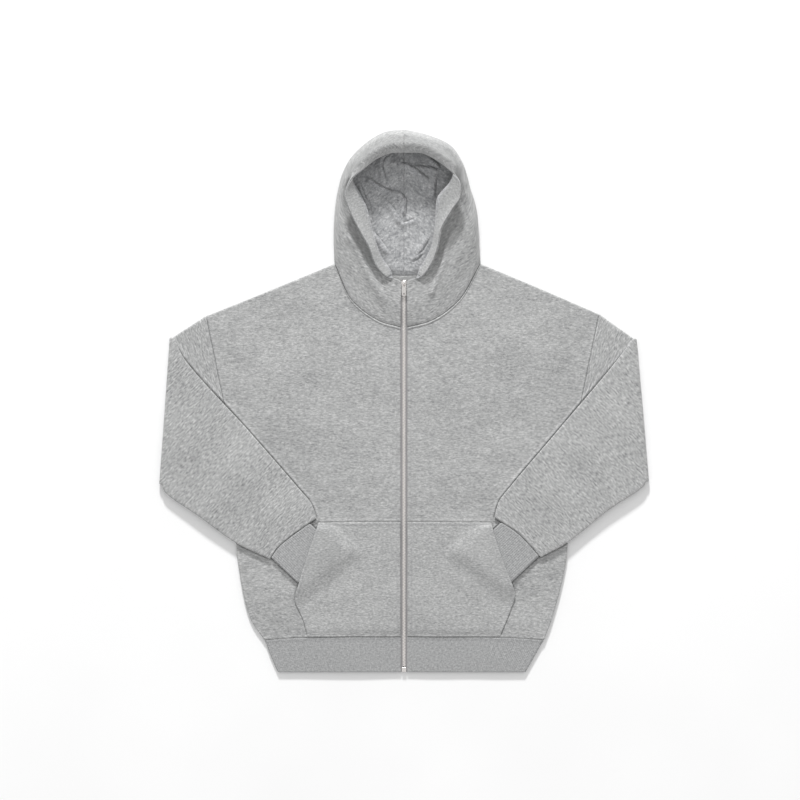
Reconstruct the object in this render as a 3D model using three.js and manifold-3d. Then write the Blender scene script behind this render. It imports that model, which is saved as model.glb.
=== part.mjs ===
// A zip up hoodie lying flat on its back, with both sleeves folded at the elbow over the front
// and both cuffs tucked into the kangaroo pocket. Millimetres, +Z up, +Y towards the hood.
// x = 0 is the zip, z = 0 is the surface that the back lies on. Left and right are the wearer's,
// so the left half lies at +X. Tables give x as a distance from the zip.
import * as THREE from "three";
import Module from "manifold-3d";
import { mergeVertices } from "three/addons/utils/BufferGeometryUtils.js";

const wasm = await Module();
wasm.setup();

// Cloth and stacking heights
const CLOTH = 2;
const SEAM_GAP = 0.3;
const LAYER_SPACE = 1.5;
const BACK_Z = CLOTH / 2;
const FRONT_Z = BACK_Z + CLOTH + LAYER_SPACE;
const MIDDLE_Z = (BACK_Z + FRONT_Z) / 2;
const ROLL = (FRONT_Z - BACK_Z) / 2;
const BODY_TOP = FRONT_Z + CLOTH / 2;
const LAY_GAP = 0.5;
const FOREARM_Z = BODY_TOP + LAY_GAP + ROLL + CLOTH / 2;
const CUFF_SINK = 0.2;
const CUFF_Z = FOREARM_Z - CUFF_SINK;
const POCKET_Z = BODY_TOP + SEAM_GAP + CLOTH / 2;

// Body lengths
const ZIP_SPACE = 5.4;
const POCKET_INSET = 0.5;
const NECK_FRONT_Y = 128;
const NECK_BACK_Y = 216;
const HEM_CENTRE_Y = -404;
const HEM_SIDE_Y = -410;
const HEM_BOTTOM_Y = -465;
const RIB_STEPS = 4;
const RIB_FLATS = [0.35, 0.7];
const HEM_BEND = 4;
const PIT_SHARE = 0.575;
const PIT_STEP = 0.02;

// Outline of each half: high shoulder point, armhole and side seam, elbow fold, forearm, cuff, pocket
const SIDES = {
  left: {
    sign: 1,
    shoulder: [[131, 236], [236, 192], [335, 149]],
    armhole: [[287, -83], [335, 149]],
    side: [[240, -410], [255, -369], [276, -286], [281, -242], [287, -83]],
    neck: [[5.8, 128], [51, 141], [97, 177], [131, 236]],
    rib: [[239, -410], [224, -438], [208, -465]],
    foldTop: [400, 107],
    foldBottom: [421, -137],
    foldSide: [[400, 107], [411, -20], [421, -137]],
    forearmUpper: [[400, 107], [355, 56], [256, -61], [179, -152], [164, -172], [156, -200]],
    forearmLower: [[421, -137], [410, -146], [351, -186], [280, -242], [234, -267]],
    cuffSeam: [[156, -200], [192, -223], [210, -240], [234, -267]],
    cuff: { seamIn: 0.14, seamOut: 0.97, end: [[114, -258], [183, -311]] },
    pocketSide: [[165, -403.5], [184, -357], [191, -332], [184, -309], [176, -290], [157, -236], [150, -208]],
  },
  right: {
    sign: -1,
    shoulder: [[119, 236], [230, 190], [340, 146]],
    armhole: [[292, -87], [340, 146]],
    side: [[239, -410], [264, -372], [285, -274], [288, -242], [292, -87]],
    neck: [[5.8, 128], [43, 139], [91, 176], [119, 236]],
    rib: [[238, -410], [230, -434], [216, -465]],
    foldTop: [403, 109],
    foldBottom: [421, -142],
    foldSide: [[403, 109], [412, -20], [421, -142]],
    forearmUpper: [[403, 109], [377, 71], [265, -54], [180, -152], [160, -176], [151, -201]],
    forearmLower: [[421, -142], [410, -155], [350, -198], [287, -243], [230, -270]],
    cuffSeam: [[151, -201], [191, -229], [217, -251], [230, -270]],
    cuff: { seamIn: 0.14, seamOut: 0.97, end: [[112, -256], [182, -311]] },
    pocketSide: [[166, -403.5], [174, -374], [187, -345], [187, -334], [181, -313], [166, -265], [147, -208]],
  },
};

// Hood sections from the neck seam to the crown. seamY is the centre seam on the floor, out the
// outline, roll the depth of its fold and crestZ the height, dip the height of the valley beside
// the lip, root where the lip turns up, edge the free edge of the face opening. Round the crown
// the lip rolls inwards, and its root is the ridge.
const HOOD_COLUMNS = ["seamY", "roll", "crestZ", "dip", "rootZ", "edgeZ"];
const HOOD_HEIGHTS = [
  [216.3, 1.75, 4.5, 4.5, 4.5, 4.5],
  [232, 4, 9, 10.5, 11.5, 11.5],
  [246, 6, 13, 12, 12, 12],
  [252, 7, 15, 12, 12, 17],
  [265, 8, 17, 12, 12, 24],
  [285, 9, 19, 12, 13, 30],
  [308, 9, 19, 12, 14, 34],
  [333, 9, 19, 12, 16, 38],
  [358, 10, 22, 15, 21, 41],
  [382, 11, 28, 31, 34, 43],
  [404, 9, 39, 42, 44, 42],
  [425, 6, 43, 47, 49, 43],
  [440, 6, 46, 50, 51.5, 44],
  [446, 6, 46.5, 50.5, 52, 44.5],
];
const HOOD_PLANS = {
  left: {
    out: [
      [131, 237], [129, 258], [128, 272], [128, 280], [127, 292], [126.5, 306], [125, 322],
      [120, 345], [113, 366], [107, 390], [97, 415], [79, 439], [42, 456], [0.15, 465.8],
    ],
    root: [
      [51, 141.3], [44, 185], [26, 202], [25, 222], [38, 246], [48, 268], [53, 293],
      [55, 322], [58, 350], [80, 378], [86, 404], [64, 421], [33, 438], [0.15, 441.5],
    ],
    edge: [
      [5.8, 128.3], [5.4, 168], [6, 207], [30, 214], [47, 235], [58, 262], [65, 296],
      [83, 328], [97, 351], [95, 379], [78, 396], [57, 412], [31, 425], [0.15, 426],
    ],
  },
  right: {
    out: [
      [119, 237], [119.5, 258], [120, 272], [120, 280], [120, 290], [119.7, 304], [118.5, 322],
      [116, 345], [112, 366], [105, 391], [91, 417], [66, 442], [34, 461], [0.15, 465.8],
    ],
    root: [
      [43, 139.3], [38, 185], [22, 202], [22, 221], [38, 246], [47, 268], [54, 292],
      [64, 331], [76, 357], [90, 384], [77, 406], [54, 425], [28, 438], [0.15, 441.5],
    ],
    edge: [
      [5.8, 128.3], [5.4, 168], [6, 207], [30, 214], [50, 235], [60, 262], [76, 291],
      [95, 330], [102, 355], [92, 380], [70, 397], [47, 415], [24, 425], [0.15, 426],
    ],
  },
};
const HOOD_ROWS = 26;
const CREST_SHARE = 0.9;
const VALLEY_SHARE = 0.5;
const NECK_GAP = { front: 0.6, shoulder: 1.3, reach: 45 };
const HOOD_STEPS = [0, 0.5, 0.86, 1, 1.5, 2, 2.5, 3, 3.5, 4, 4.5, 5, 5.3, 5.65, 6];
const HEM_BAND = { steps: [5.3, 5.65, 6], from: 6, cloth: 1.6 };

// Zip: half profile in x and in height from the middle of the front's cloth
const ZIP_TOP_Y = 206;
const SLIDER_Z = 12;
const TEETH_END_Y = -456;
const TAPE_END = { step: 0.7, thick: 0.1 };
const TOP_STEP = 2;
const TAPE = { width: 11.5, low: -2.2, high: -1.4 };
const TEETH = { inner: 0.15, outer: 2.4, low: -2.3, high: 0.3 };
const SLIDER = { length: 11, top: 209, width: 9.6, plate: 1.2, lift: 0.3, flange: 1.2, weld: 0.1 };
const SLIDER_FORM = { tail: 0.72, waist: 0.45, shoulder: 0.2, round: 0.9, pivot: 0.52 };
const FLANGE_FORM = { length: 0.5, middle: 0.4 };
const POST = { width: 3, length: 2.2, inset: 0.3 };
const BRIDGE = { width: 2, length: 8, height: 3.2 };
const PULL = { length: 22, width: 7.4, neck: 6.2, metal: 1.2, play: 0.35, corner: 2 };
const SHOULDER = { start: -5, end: -8 };
const EYE = { width: 3.4, end: -5.6 };
const HOLE = { radius: 1.6, inset: 3.4 };
const BOX = { width: 7.6, length: 8, low: -1, high: 1 };

const MARL = { color: 0xafb0af, roughness: 0.95, metalness: 0 };
const RIB = { color: 0xa5a6a7, roughness: 0.95, metalness: 0 };
const TAPE_CLOTH = { color: 0x8d8c8e, roughness: 0.8, metalness: 0 };
const SILVER = { color: 0xcdc8c4, roughness: 0.3, metalness: 1 };

const lerp = (a, b, t) => a + (b - a) * t;
const smooth = (t) => {
  const s = Math.min(1, Math.max(0, t));
  return s * s * (3 - 2 * s);
};
const steps = (count) => Array.from({ length: count + 1 }, (_, i) => i / count);

// A smooth curve through table points
function spline(points, sign = 1) {
  return new THREE.CatmullRomCurve3(points.map(([x, y, z = 0]) => new THREE.Vector3(sign * x, y, z)));
}

// The same curve, read by its length from 0 to 1
function curve(points, sign) {
  const path = spline(points, sign);
  return (t) => path.getPointAt(Math.min(1, Math.max(0, t)));
}

// Two curves end to end, meeting at the parameter where
function joined(first, second, where) {
  return (t) => (t <= where ? first(t / where) : second((t - where) / (1 - where)));
}

// The point at u, v inside four edge curves
function coons(bottom, top, inner, outer, u, v) {
  const point = new THREE.Vector3();
  point.addScaledVector(bottom(u), 1 - v).addScaledVector(top(u), v);
  point.addScaledVector(inner(v), 1 - u).addScaledVector(outer(v), u);
  point.addScaledVector(bottom(0), -(1 - u) * (1 - v)).addScaledVector(bottom(1), -u * (1 - v));
  point.addScaledVector(top(0), -(1 - u) * v).addScaledVector(top(1), -u * v);
  return point;
}

// A mesh's geometry from vertices and triangles, with its faces turned outwards
function solid(points, faces) {
  let volume = 0;
  for (const [a, b, c] of faces) {
    volume += points[a].dot(new THREE.Vector3().crossVectors(points[b], points[c]));
  }
  const turned = volume < 0 ? faces.map(([a, b, c]) => [a, c, b]) : faces;
  const geometry = new THREE.BufferGeometry().setFromPoints(points);
  geometry.setIndex(turned.flat());
  geometry.computeVertexNormals();
  return geometry;
}

// The unit normal of a grid of points at row i, column j
function gridNormal(grid, i, j, closed) {
  const rows = grid.length;
  const columns = grid[0].length;
  const before = closed ? (j + columns - 1) % columns : Math.max(0, j - 1);
  const after = closed ? (j + 1) % columns : Math.min(columns - 1, j + 1);
  const across = grid[i][after].clone().sub(grid[i][before]);
  const along = grid[Math.min(rows - 1, i + 1)][j].clone().sub(grid[Math.max(0, i - 1)][j]);
  return across.cross(along).normalize();
}

// The grid moved out along its normals, never below or above its limits in height, and with
// a sign never over the seam in the middle
function moved(grid, distance, { closed = false, low = 0, high = Infinity, sign = 0 } = {}) {
  return grid.map((row, i) => row.map((point, j) => {
    const out = point.clone().addScaledVector(gridNormal(grid, i, j, closed), distance);
    out.z = Math.min(high, Math.max(low, out.z));
    if (sign !== 0) out.x = sign * Math.max(SEAM_GAP / 2, sign * out.x);
    return out;
  }));
}

// A wall of cloth around a grid of points in its middle. A closed wall is a tube.
function wall(grid, { cloth = CLOTH, closed = false, ...limits } = {}) {
  const rows = grid.length;
  const columns = grid[0].length;
  const skins = [cloth / 2, -cloth / 2].map((distance) => moved(grid, distance, { closed, ...limits }));
  const points = skins.flat(2);
  const at = (skin, i, j) => skin * rows * columns + i * columns + (j % columns);
  const faces = [];
  const quad = (a, b, c, d) => faces.push([a, b, c], [a, c, d]);
  const across = closed ? columns : columns - 1;
  for (let i = 0; i < rows - 1; i++) {
    for (let j = 0; j < across; j++) {
      quad(at(0, i, j), at(0, i, j + 1), at(0, i + 1, j + 1), at(0, i + 1, j));
      quad(at(1, i, j), at(1, i + 1, j), at(1, i + 1, j + 1), at(1, i, j + 1));
    }
  }
  for (let j = 0; j < across; j++) {
    quad(at(0, 0, j), at(1, 0, j), at(1, 0, j + 1), at(0, 0, j + 1));
    quad(at(0, rows - 1, j), at(0, rows - 1, j + 1), at(1, rows - 1, j + 1), at(1, rows - 1, j));
  }
  for (let i = 0; i < rows - 1 && !closed; i++) {
    quad(at(0, i, 0), at(0, i + 1, 0), at(1, i + 1, 0), at(1, i, 0));
    quad(at(0, i, columns - 1), at(1, i, columns - 1), at(1, i + 1, columns - 1), at(0, i + 1, columns - 1));
  }
  return solid(points, faces);
}

// Body panels
const BODY_ROWS = 11;
const SHOULDER_COLUMNS = 4;
const PANEL_WIDTH = 285;
const PANEL_HEIGHT = 560;
const BACK_NECK_SHARES = [0, 0.35, 0.7, 0.85, 0.95, 1];
const FRONT_SPLIT = 0.41;
const BACK_SPLIT = 0.34;
const FRONT_NECK_SHARES = steps(9);
const QUARTER = 1 - Math.SQRT1_2;

// Grid steps that end in the three lines of a rolled edge
function edgeSteps(values, length) {
  const last = [1 - ROLL / length, 1 - (QUARTER * ROLL) / length, 1];
  return [...values.filter((value) => value < last[0] - 0.01), ...last];
}

// How far the panel has left its flat height on the last three lines, as a share of the roll
function rollShare(index, count) {
  return [1, QUARTER, 0][count - 1 - index] ?? 0;
}

// Half of a front or back panel, from the centre line to the side. neck is its neckline, shares
// its steps there, split the share of the upper edge that it takes, z the height and turn the way
// its edges roll.
function halfPanel(side, { centreX, neck, shares, split, z, turn }) {
  const { sign } = side;
  const hem = curve([[centreX, HEM_CENTRE_Y], [153, HEM_CENTRE_Y - 1], [side.side[0][0], HEM_SIDE_Y]], sign);
  const centre = curve([[centreX, HEM_CENTRE_Y], neck[0]], sign);
  const upper = joined(curve(neck, sign), curve(side.shoulder, sign), split);
  const outer = joined(curve(side.side, sign), curve(side.armhole, sign), PIT_SHARE);
  const neckSteps = shares.map((share) => share * split);
  const shoulderSteps = steps(SHOULDER_COLUMNS).slice(1).map((t) => lerp(split, 1, t));
  const us = edgeSteps([...neckSteps, ...shoulderSteps], PANEL_WIDTH);
  const rows = [...steps(BODY_ROWS), PIT_SHARE - PIT_STEP, PIT_SHARE].sort((a, b) => a - b);
  const vs = edgeSteps(rows, PANEL_HEIGHT);
  const drop = ROLL - SEAM_GAP / 2;
  return vs.map((v, i) => us.map((u, j) => {
    const point = coons(hem, upper, centre, outer, u, v);
    const sideShare = v < PIT_SHARE ? rollShare(j, us.length) : 0;
    const topShare = u >= split ? rollShare(i, vs.length) : 0;
    point.z = z + turn * drop * Math.max(sideShare, topShare);
    return point;
  }));
}

function frontPanel(side) {
  const neckline = { neck: side.neck, shares: FRONT_NECK_SHARES, split: FRONT_SPLIT };
  return halfPanel(side, { centreX: ZIP_SPACE, ...neckline, z: FRONT_Z, turn: -1 });
}

// The back neckline of one half, from the centre to the high shoulder point
function backNeck(side) {
  const [x, y] = side.shoulder[0];
  return [[0, NECK_BACK_Y], [x * 0.5, NECK_BACK_Y + 3], [x, y]];
}

function backPanel() {
  const half = (side) => {
    const neckline = { neck: backNeck(side), shares: BACK_NECK_SHARES, split: BACK_SPLIT };
    return halfPanel(side, { centreX: 0, ...neckline, z: BACK_Z, turn: 1 });
  };
  const right = half(SIDES.right);
  const left = half(SIDES.left);
  return right.map((row, i) => [...[...row].reverse(), ...left[i].slice(1)]);
}

// Rib waistband: one strip from the zip round the back to the zip, with rolled sides
function ribRow(side, share) {
  const y = lerp(0, HEM_BOTTOM_Y - HEM_CENTRE_Y, share);
  const outX = curve(side.rib)(share).x;
  const hemY = (x) => {
    const drop = (HEM_SIDE_Y - HEM_CENTRE_Y) * (Math.abs(x) / side.rib[0][0]) ** HEM_BEND;
    return HEM_CENTRE_Y - SEAM_GAP + drop * (1 - share) + y;
  };
  const at = (x, z) => new THREE.Vector3(side.sign * x, hemY(x), z);
  const flats = [ZIP_SPACE, ...RIB_FLATS.map((part) => outX * part), outX - ROLL];
  const turns = [0.25, 0.5, 0.75].map((part) => part * Math.PI);
  return [
    ...flats.map((x) => at(x, FRONT_Z)),
    ...turns.map((angle) => at(outX - ROLL + ROLL * Math.sin(angle), MIDDLE_Z + ROLL * Math.cos(angle))),
    ...flats.slice(1).reverse().map((x) => at(x, BACK_Z)),
  ];
}

function waistband() {
  return steps(RIB_STEPS).map((share) => {
    return [...ribRow(SIDES.right, share), ...ribRow(SIDES.left, share).reverse()];
  });
}

// Sleeves: a flattened tube. Each station gives its middle line across and its upward normal.
const RING_FLATS = 5;
const UPPER_ARM_STATIONS = [0, 0.5, 0.92];
const FOLD_STATIONS = steps(5);
const FOREARM_STATIONS = [0.04, 0.2, 0.4, 0.6, 0.8, 0.92, 1];
const CUFF_STATIONS = [0, 0.35, 0.7, 1];

function ringShape(width) {
  const reach = ROLL / width;
  const flats = steps(RING_FLATS - 1).map((t) => lerp(reach, 1 - reach, t));
  const corner = ROLL * Math.SQRT1_2;
  return [
    ...flats.map((t) => [t, ROLL]),
    [1 - QUARTER * reach, corner], [1, 0], [1 - QUARTER * reach, -corner],
    ...[...flats].reverse().map((t) => [t, -ROLL]),
    [QUARTER * reach, -corner], [0, 0], [QUARTER * reach, corner],
  ];
}

function ring(middle, normal) {
  const width = middle(0).distanceTo(middle(1));
  return ringShape(width).map(([t, height]) => middle(t).addScaledVector(normal, height));
}

const UP = new THREE.Vector3(0, 0, 1);

// The point u across and v along a flat stretch of sleeve between two cross lines
function stretch(start, end, upper, lower, z) {
  return (v) => (u) => coons(start, end, upper, lower, u, v).setZ(z);
}

function sleeve(side) {
  const { sign } = side;
  const turnRadius = (FOREARM_Z - MIDDLE_Z) / 2;
  const inset = turnRadius + ROLL + CLOTH / 2;
  const inward = ([x, y]) => [x - inset, y];
  const seamed = ([x, y]) => [x + SEAM_GAP, y];
  const fold = curve(side.foldSide.map(inward).reverse(), sign);
  const foldDown = (t) => fold(1 - t);
  const armhole = curve([...side.armhole].reverse().map(seamed), sign);
  const upperArm = stretch(
    armhole,
    foldDown,
    curve([seamed(side.armhole.at(-1)), inward(side.foldTop)], sign),
    curve([seamed(side.armhole[0]), inward(side.foldBottom)], sign),
    MIDDLE_Z,
  );
  const forearm = stretch(
    foldDown,
    curve(side.cuffSeam, sign),
    curve([inward(side.forearmUpper[0]), ...side.forearmUpper.slice(1)], sign),
    curve([inward(side.forearmLower[0]), ...side.forearmLower.slice(1)], sign),
    FOREARM_Z,
  );
  const outward = new THREE.Vector3(sign, 0, 0);
  const turn = (angle) => {
    const normal = UP.clone().multiplyScalar(Math.cos(angle)).addScaledVector(outward, -Math.sin(angle));
    const centre = (u) => {
      const point = foldDown(u).addScaledVector(outward, turnRadius * Math.sin(angle));
      return point.setZ(MIDDLE_Z + turnRadius * (1 - Math.cos(angle)));
    };
    return ring(centre, normal);
  };
  const down = UP.clone().negate();
  return [
    ...UPPER_ARM_STATIONS.map((v) => ring(upperArm(v), UP)),
    ...FOLD_STATIONS.map((part) => turn(part * Math.PI)),
    ...FOREARM_STATIONS.map((v) => ring(forearm(v), down)),
  ];
}

// The cuff's four corners: inner and outer at the seam, inner and outer at the end
function cuffCorners(side) {
  const seam = curve(side.cuffSeam, side.sign);
  const toEnd = ([x, y]) => new THREE.Vector3(side.sign * x, y, 0);
  const { seamIn, seamOut, end } = side.cuff;
  return [seam(seamIn), seam(seamOut), toEnd(end[0]), toEnd(end[1])];
}

function cuff(side) {
  const [innerStart, outerStart, innerEnd, outerEnd] = cuffCorners(side);
  const seam = curve(side.cuffSeam, side.sign);
  const { seamIn, seamOut } = side.cuff;
  const away = innerEnd.clone().sub(innerStart).normalize().multiplyScalar(SEAM_GAP * 2);
  const start = (t) => seam(lerp(seamIn, seamOut, t)).add(away);
  const end = (t) => innerEnd.clone().lerp(outerEnd, t);
  const inner = (t) => innerStart.clone().add(away).lerp(innerEnd, t);
  const outer = (t) => outerStart.clone().add(away).lerp(outerEnd, t);
  const middle = stretch(start, end, inner, outer, CUFF_Z);
  return CUFF_STATIONS.map((v) => ring(middle(v), UP));
}

// Kangaroo pocket: lies on the front panel and rises over the cuff inside it
const POCKET_LIFT = { height: 6.2, before: 38, full: -4, sewn: 12, round: 6 };
const POCKET_TOP_Y = -207;
const POCKET_ROWS = [0, 0.14, 0.27, 0.37, 0.44, 0.5, 0.56, 0.63, 0.7, 0.77, 0.84, 0.9, 0.95, 1];
const POCKET_COLUMNS = [0, 0.3, 0.55, 0.68, 0.76, 0.83, 0.89, 0.94, 1];

// Signed distance from a point to the cuff's outline with rounded corners, positive inside
function insideCuff(side, point) {
  const [innerStart, outerStart, innerEnd, outerEnd] = cuffCorners(side);
  const outline = [innerStart, outerStart, outerEnd, innerEnd];
  const distances = outline.map((corner, i) => {
    const edge = outline[(i + 1) % outline.length].clone().sub(corner);
    const offset = point.clone().sub(corner);
    return (-side.sign * (edge.x * offset.y - edge.y * offset.x)) / Math.hypot(edge.x, edge.y);
  });
  const total = distances.reduce((sum, distance) => sum + Math.exp(-distance / POCKET_LIFT.round), 0);
  return -POCKET_LIFT.round * Math.log(total);
}

function pocket(side) {
  const { sign } = side;
  const [bottomX, bottomY] = side.pocketSide[0];
  const innerX = ZIP_SPACE + POCKET_INSET;
  const bottom = curve([[innerX, bottomY], [bottomX, bottomY]], sign);
  const top = curve([[innerX, POCKET_TOP_Y], side.pocketSide.at(-1)], sign);
  const inner = curve([[innerX, bottomY], [innerX, POCKET_TOP_Y]], sign);
  const outer = curve(side.pocketSide, sign);
  return POCKET_ROWS.map((v) => POCKET_COLUMNS.map((u) => {
    const point = coons(bottom, top, inner, outer, u, v);
    const inside = insideCuff(side, point.clone().setZ(0)) + POCKET_LIFT.before;
    const share = smooth(inside / (POCKET_LIFT.before + POCKET_LIFT.full));
    const sewn = smooth((POCKET_TOP_Y - point.y) / POCKET_LIFT.sewn);
    return point.setZ(POCKET_Z + POCKET_LIFT.height * share * sewn);
  }));
}

// The hood's table at any place between the neck seam, 0, and the crown, 1
function hoodSection(name, place) {
  const plan = HOOD_PLANS[name];
  const along = (points) => spline(points).getPoint(place);
  const heights = Object.fromEntries(HOOD_COLUMNS.map((column, k) => {
    return [column, along(HOOD_HEIGHTS.map((row, i) => [i, row[k]])).y];
  }));
  return { ...heights, out: along(plan.out), root: along(plan.root), edge: along(plan.edge) };
}

// One section as a curve: centre seam, floor, outline fold, valley, lip root, free edge
function hoodCurve(name, place) {
  const { seamY, roll, crestZ, dip, rootZ, edgeZ, out, root, edge } = hoodSection(name, place);
  const seam = new THREE.Vector3(SEAM_GAP / 2, seamY, BACK_Z);
  const inward = root.clone().sub(out).setZ(0).normalize();
  const side = out.clone().setZ((BACK_Z + crestZ) / 2);
  const foot = out.clone().addScaledVector(inward, roll).setZ(BACK_Z);
  const crest = out.clone().addScaledVector(inward, roll * CREST_SHARE).setZ(crestZ);
  const valley = crest.clone().lerp(root, VALLEY_SHARE).setZ(dip);
  const controls = [
    seam, foot, side, crest, valley, root.clone().setZ(rootZ), edge.clone().setZ(edgeZ),
  ];
  const path = new THREE.CatmullRomCurve3(controls);
  return (step) => {
    const point = path.getPoint(step / (controls.length - 1));
    point.z = Math.max(point.z, BACK_Z);
    return point;
  };
}

// The first section lies along the necklines of the back and front panels
function neckRow(side) {
  const back = curve(backNeck(side));
  const front = curve(side.neck);
  const backPoints = BACK_NECK_SHARES.map((share) => back(share).setZ(BACK_Z));
  const frontPoints = [...FRONT_NECK_SHARES].reverse().slice(1).map((share) => front(share).setZ(FRONT_Z));
  backPoints.at(-1).z = MIDDLE_Z;
  const line = [...backPoints, ...frontPoints];
  return line.map((point, i) => {
    const [before, after] = [line[Math.max(i - 1, 0)], line[Math.min(i + 1, line.length - 1)]];
    const run = after.clone().sub(before).setZ(0).normalize();
    const away = new THREE.Vector3(-Math.abs(run.y), Math.abs(run.x), 0);
    const near = smooth(1 - point.distanceTo(line[backPoints.length - 1]) / NECK_GAP.reach);
    const out = point.clone().addScaledVector(away, lerp(NECK_GAP.front, NECK_GAP.shoulder, near));
    return out.setX(Math.max(out.x, SEAM_GAP / 2));
  });
}

function hood(name, stepList = HOOD_STEPS) {
  const side = SIDES[name];
  return steps(HOOD_ROWS).map((place, i) => {
    const section = hoodCurve(name, place);
    const row = i === 0 && stepList === HOOD_STEPS ? neckRow(side) : stepList.map(section);
    return row.map((point) => point.setX(point.x * side.sign));
  });
}

// The hood's turned hem lies on the inside of its lip
function hemBand(name) {
  const grid = hood(name, HEM_BAND.steps).slice(HEM_BAND.from);
  const distance = CLOTH / 2 + SEAM_GAP + HEM_BAND.cloth / 2;
  return moved(grid, SIDES[name].sign * distance, SIDES[name]);
}

// Height of the front's cloth beside the zip: [y, z] from the neck seam to the zip's top
function zipRise() {
  const edge = hood("left").map((row) => row.at(-1)).slice(1).map(({ y, z }) => [y, z - SEAM_GAP]);
  return [[NECK_FRONT_Y, FRONT_Z], ...edge.filter(([y]) => y < ZIP_TOP_Y - TOP_STEP), [ZIP_TOP_Y, SLIDER_Z]];
}

function zipHalf(sign) {
  const stations = [
    [HEM_BOTTOM_Y, FRONT_Z, TAPE.low - TAPE_END.thick, TAPE.high + TAPE_END.thick],
    [TEETH_END_Y - TAPE_END.step, FRONT_Z, TAPE.low - TAPE_END.thick, TAPE.high + TAPE_END.thick],
    [TEETH_END_Y, FRONT_Z, TEETH.low, TEETH.high],
    ...zipRise().map(([y, z]) => [y, z, TEETH.low, TEETH.high]),
  ];
  const profile = (low, high) => [
    [TEETH.inner, low], [TEETH.outer, low], [TEETH.outer, TAPE.low], [TAPE.width, TAPE.low],
    [TAPE.width, TAPE.high], [TEETH.outer, TAPE.high], [TEETH.outer, high], [TEETH.inner, high],
  ];
  const size = profile(0, 0).length;
  const points = stations.flatMap(([y, middle, low, high]) => {
    return profile(low, high).map(([x, z]) => new THREE.Vector3(sign * x, y, middle + z));
  });
  const outline = profile(TEETH.low, TEETH.high).map(([x, z]) => new THREE.Vector2(x, z));
  const cap = THREE.ShapeUtils.triangulateShape(outline, []);
  const end = (stations.length - 1) * size;
  const faces = [...cap, ...cap.map(([a, b, c]) => [end + a, end + c, end + b])];
  for (let i = 0; i < stations.length - 1; i++) {
    for (let j = 0; j < size; j++) {
      const [a, b] = [i * size + j, i * size + ((j + 1) % size)];
      faces.push([a, a + size, b + size], [a, b + size, b]);
    }
  }
  return solid(points, faces);
}

// Slider and pull tab, in a frame at the slider's top end on the middle of the front's cloth
function toManifold(geometry) {
  const bare = geometry.clone();
  bare.deleteAttribute("normal");
  bare.deleteAttribute("uv");
  const merged = mergeVertices(bare, 1e-4);
  return new wasm.Manifold(new wasm.Mesh({
    numProp: 3,
    vertProperties: new Float32Array(merged.attributes.position.array),
    triVerts: new Uint32Array(merged.index.array),
  }));
}

function fromManifold(body) {
  const { vertProperties, triVerts } = body.getMesh();
  const geometry = new THREE.BufferGeometry();
  geometry.setAttribute("position", new THREE.BufferAttribute(vertProperties, 3));
  geometry.setIndex(new THREE.BufferAttribute(triVerts, 1));
  geometry.computeVertexNormals();
  return geometry;
}

function block(width, length, height, x, y, z) {
  return new THREE.BoxGeometry(width, length, height).translate(x, y, z);
}

// A flat plate cut to an outline, from height z up
function plate(shape, metal, z) {
  const options = { depth: metal, bevelEnabled: false, curveSegments: 5 };
  return new THREE.ExtrudeGeometry(shape, options).translate(0, 0, z);
}

function sliderOutline() {
  const half = SLIDER.width / 2;
  const tail = half * SLIDER_FORM.tail;
  const round = half * SLIDER_FORM.round;
  const waistY = -SLIDER.length * SLIDER_FORM.waist;
  const shoulderY = -SLIDER.length * SLIDER_FORM.shoulder;
  const shape = new THREE.Shape();
  shape.moveTo(-tail, -SLIDER.length);
  shape.lineTo(tail, -SLIDER.length);
  shape.lineTo(half, waistY);
  shape.lineTo(half, shoulderY);
  shape.quadraticCurveTo(round, 0, 0, 0);
  shape.quadraticCurveTo(-round, 0, -half, shoulderY);
  shape.lineTo(-half, waistY);
  return shape;
}

const TOP_PLATE_Z = TEETH.high + SLIDER.lift;
const LOW_PLATE_Z = TAPE.low - TAPE_END.thick - SLIDER.lift - SLIDER.plate;
const CROWN_Z = TOP_PLATE_Z + SLIDER.plate;
const BAR = PULL.metal / 2;
const PIVOT = { y: -SLIDER.length * SLIDER_FORM.pivot, z: CROWN_Z + PULL.play + BAR };

// The loop on the slider's crown, with a round hole that the pull tab's bar turns in
function bridge() {
  const half = BRIDGE.length / 2;
  const arch = new THREE.Shape();
  arch.moveTo(-half, -SLIDER.weld);
  arch.lineTo(half, -SLIDER.weld);
  arch.quadraticCurveTo(half, BRIDGE.height, 0, BRIDGE.height);
  arch.quadraticCurveTo(-half, BRIDGE.height, -half, -SLIDER.weld);
  const hole = new THREE.Path();
  hole.absarc(0, PULL.play + BAR, BAR + PULL.play - SLIDER.weld / 2, 0, Math.PI * 2);
  arch.holes.push(hole);
  return new THREE.ExtrudeGeometry(arch, { depth: BRIDGE.width, bevelEnabled: false, curveSegments: 8 })
    .translate(0, 0, -BRIDGE.width / 2)
    .rotateX(Math.PI / 2)
    .rotateZ(Math.PI / 2)
    .translate(0, PIVOT.y, CROWN_Z);
}

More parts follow.
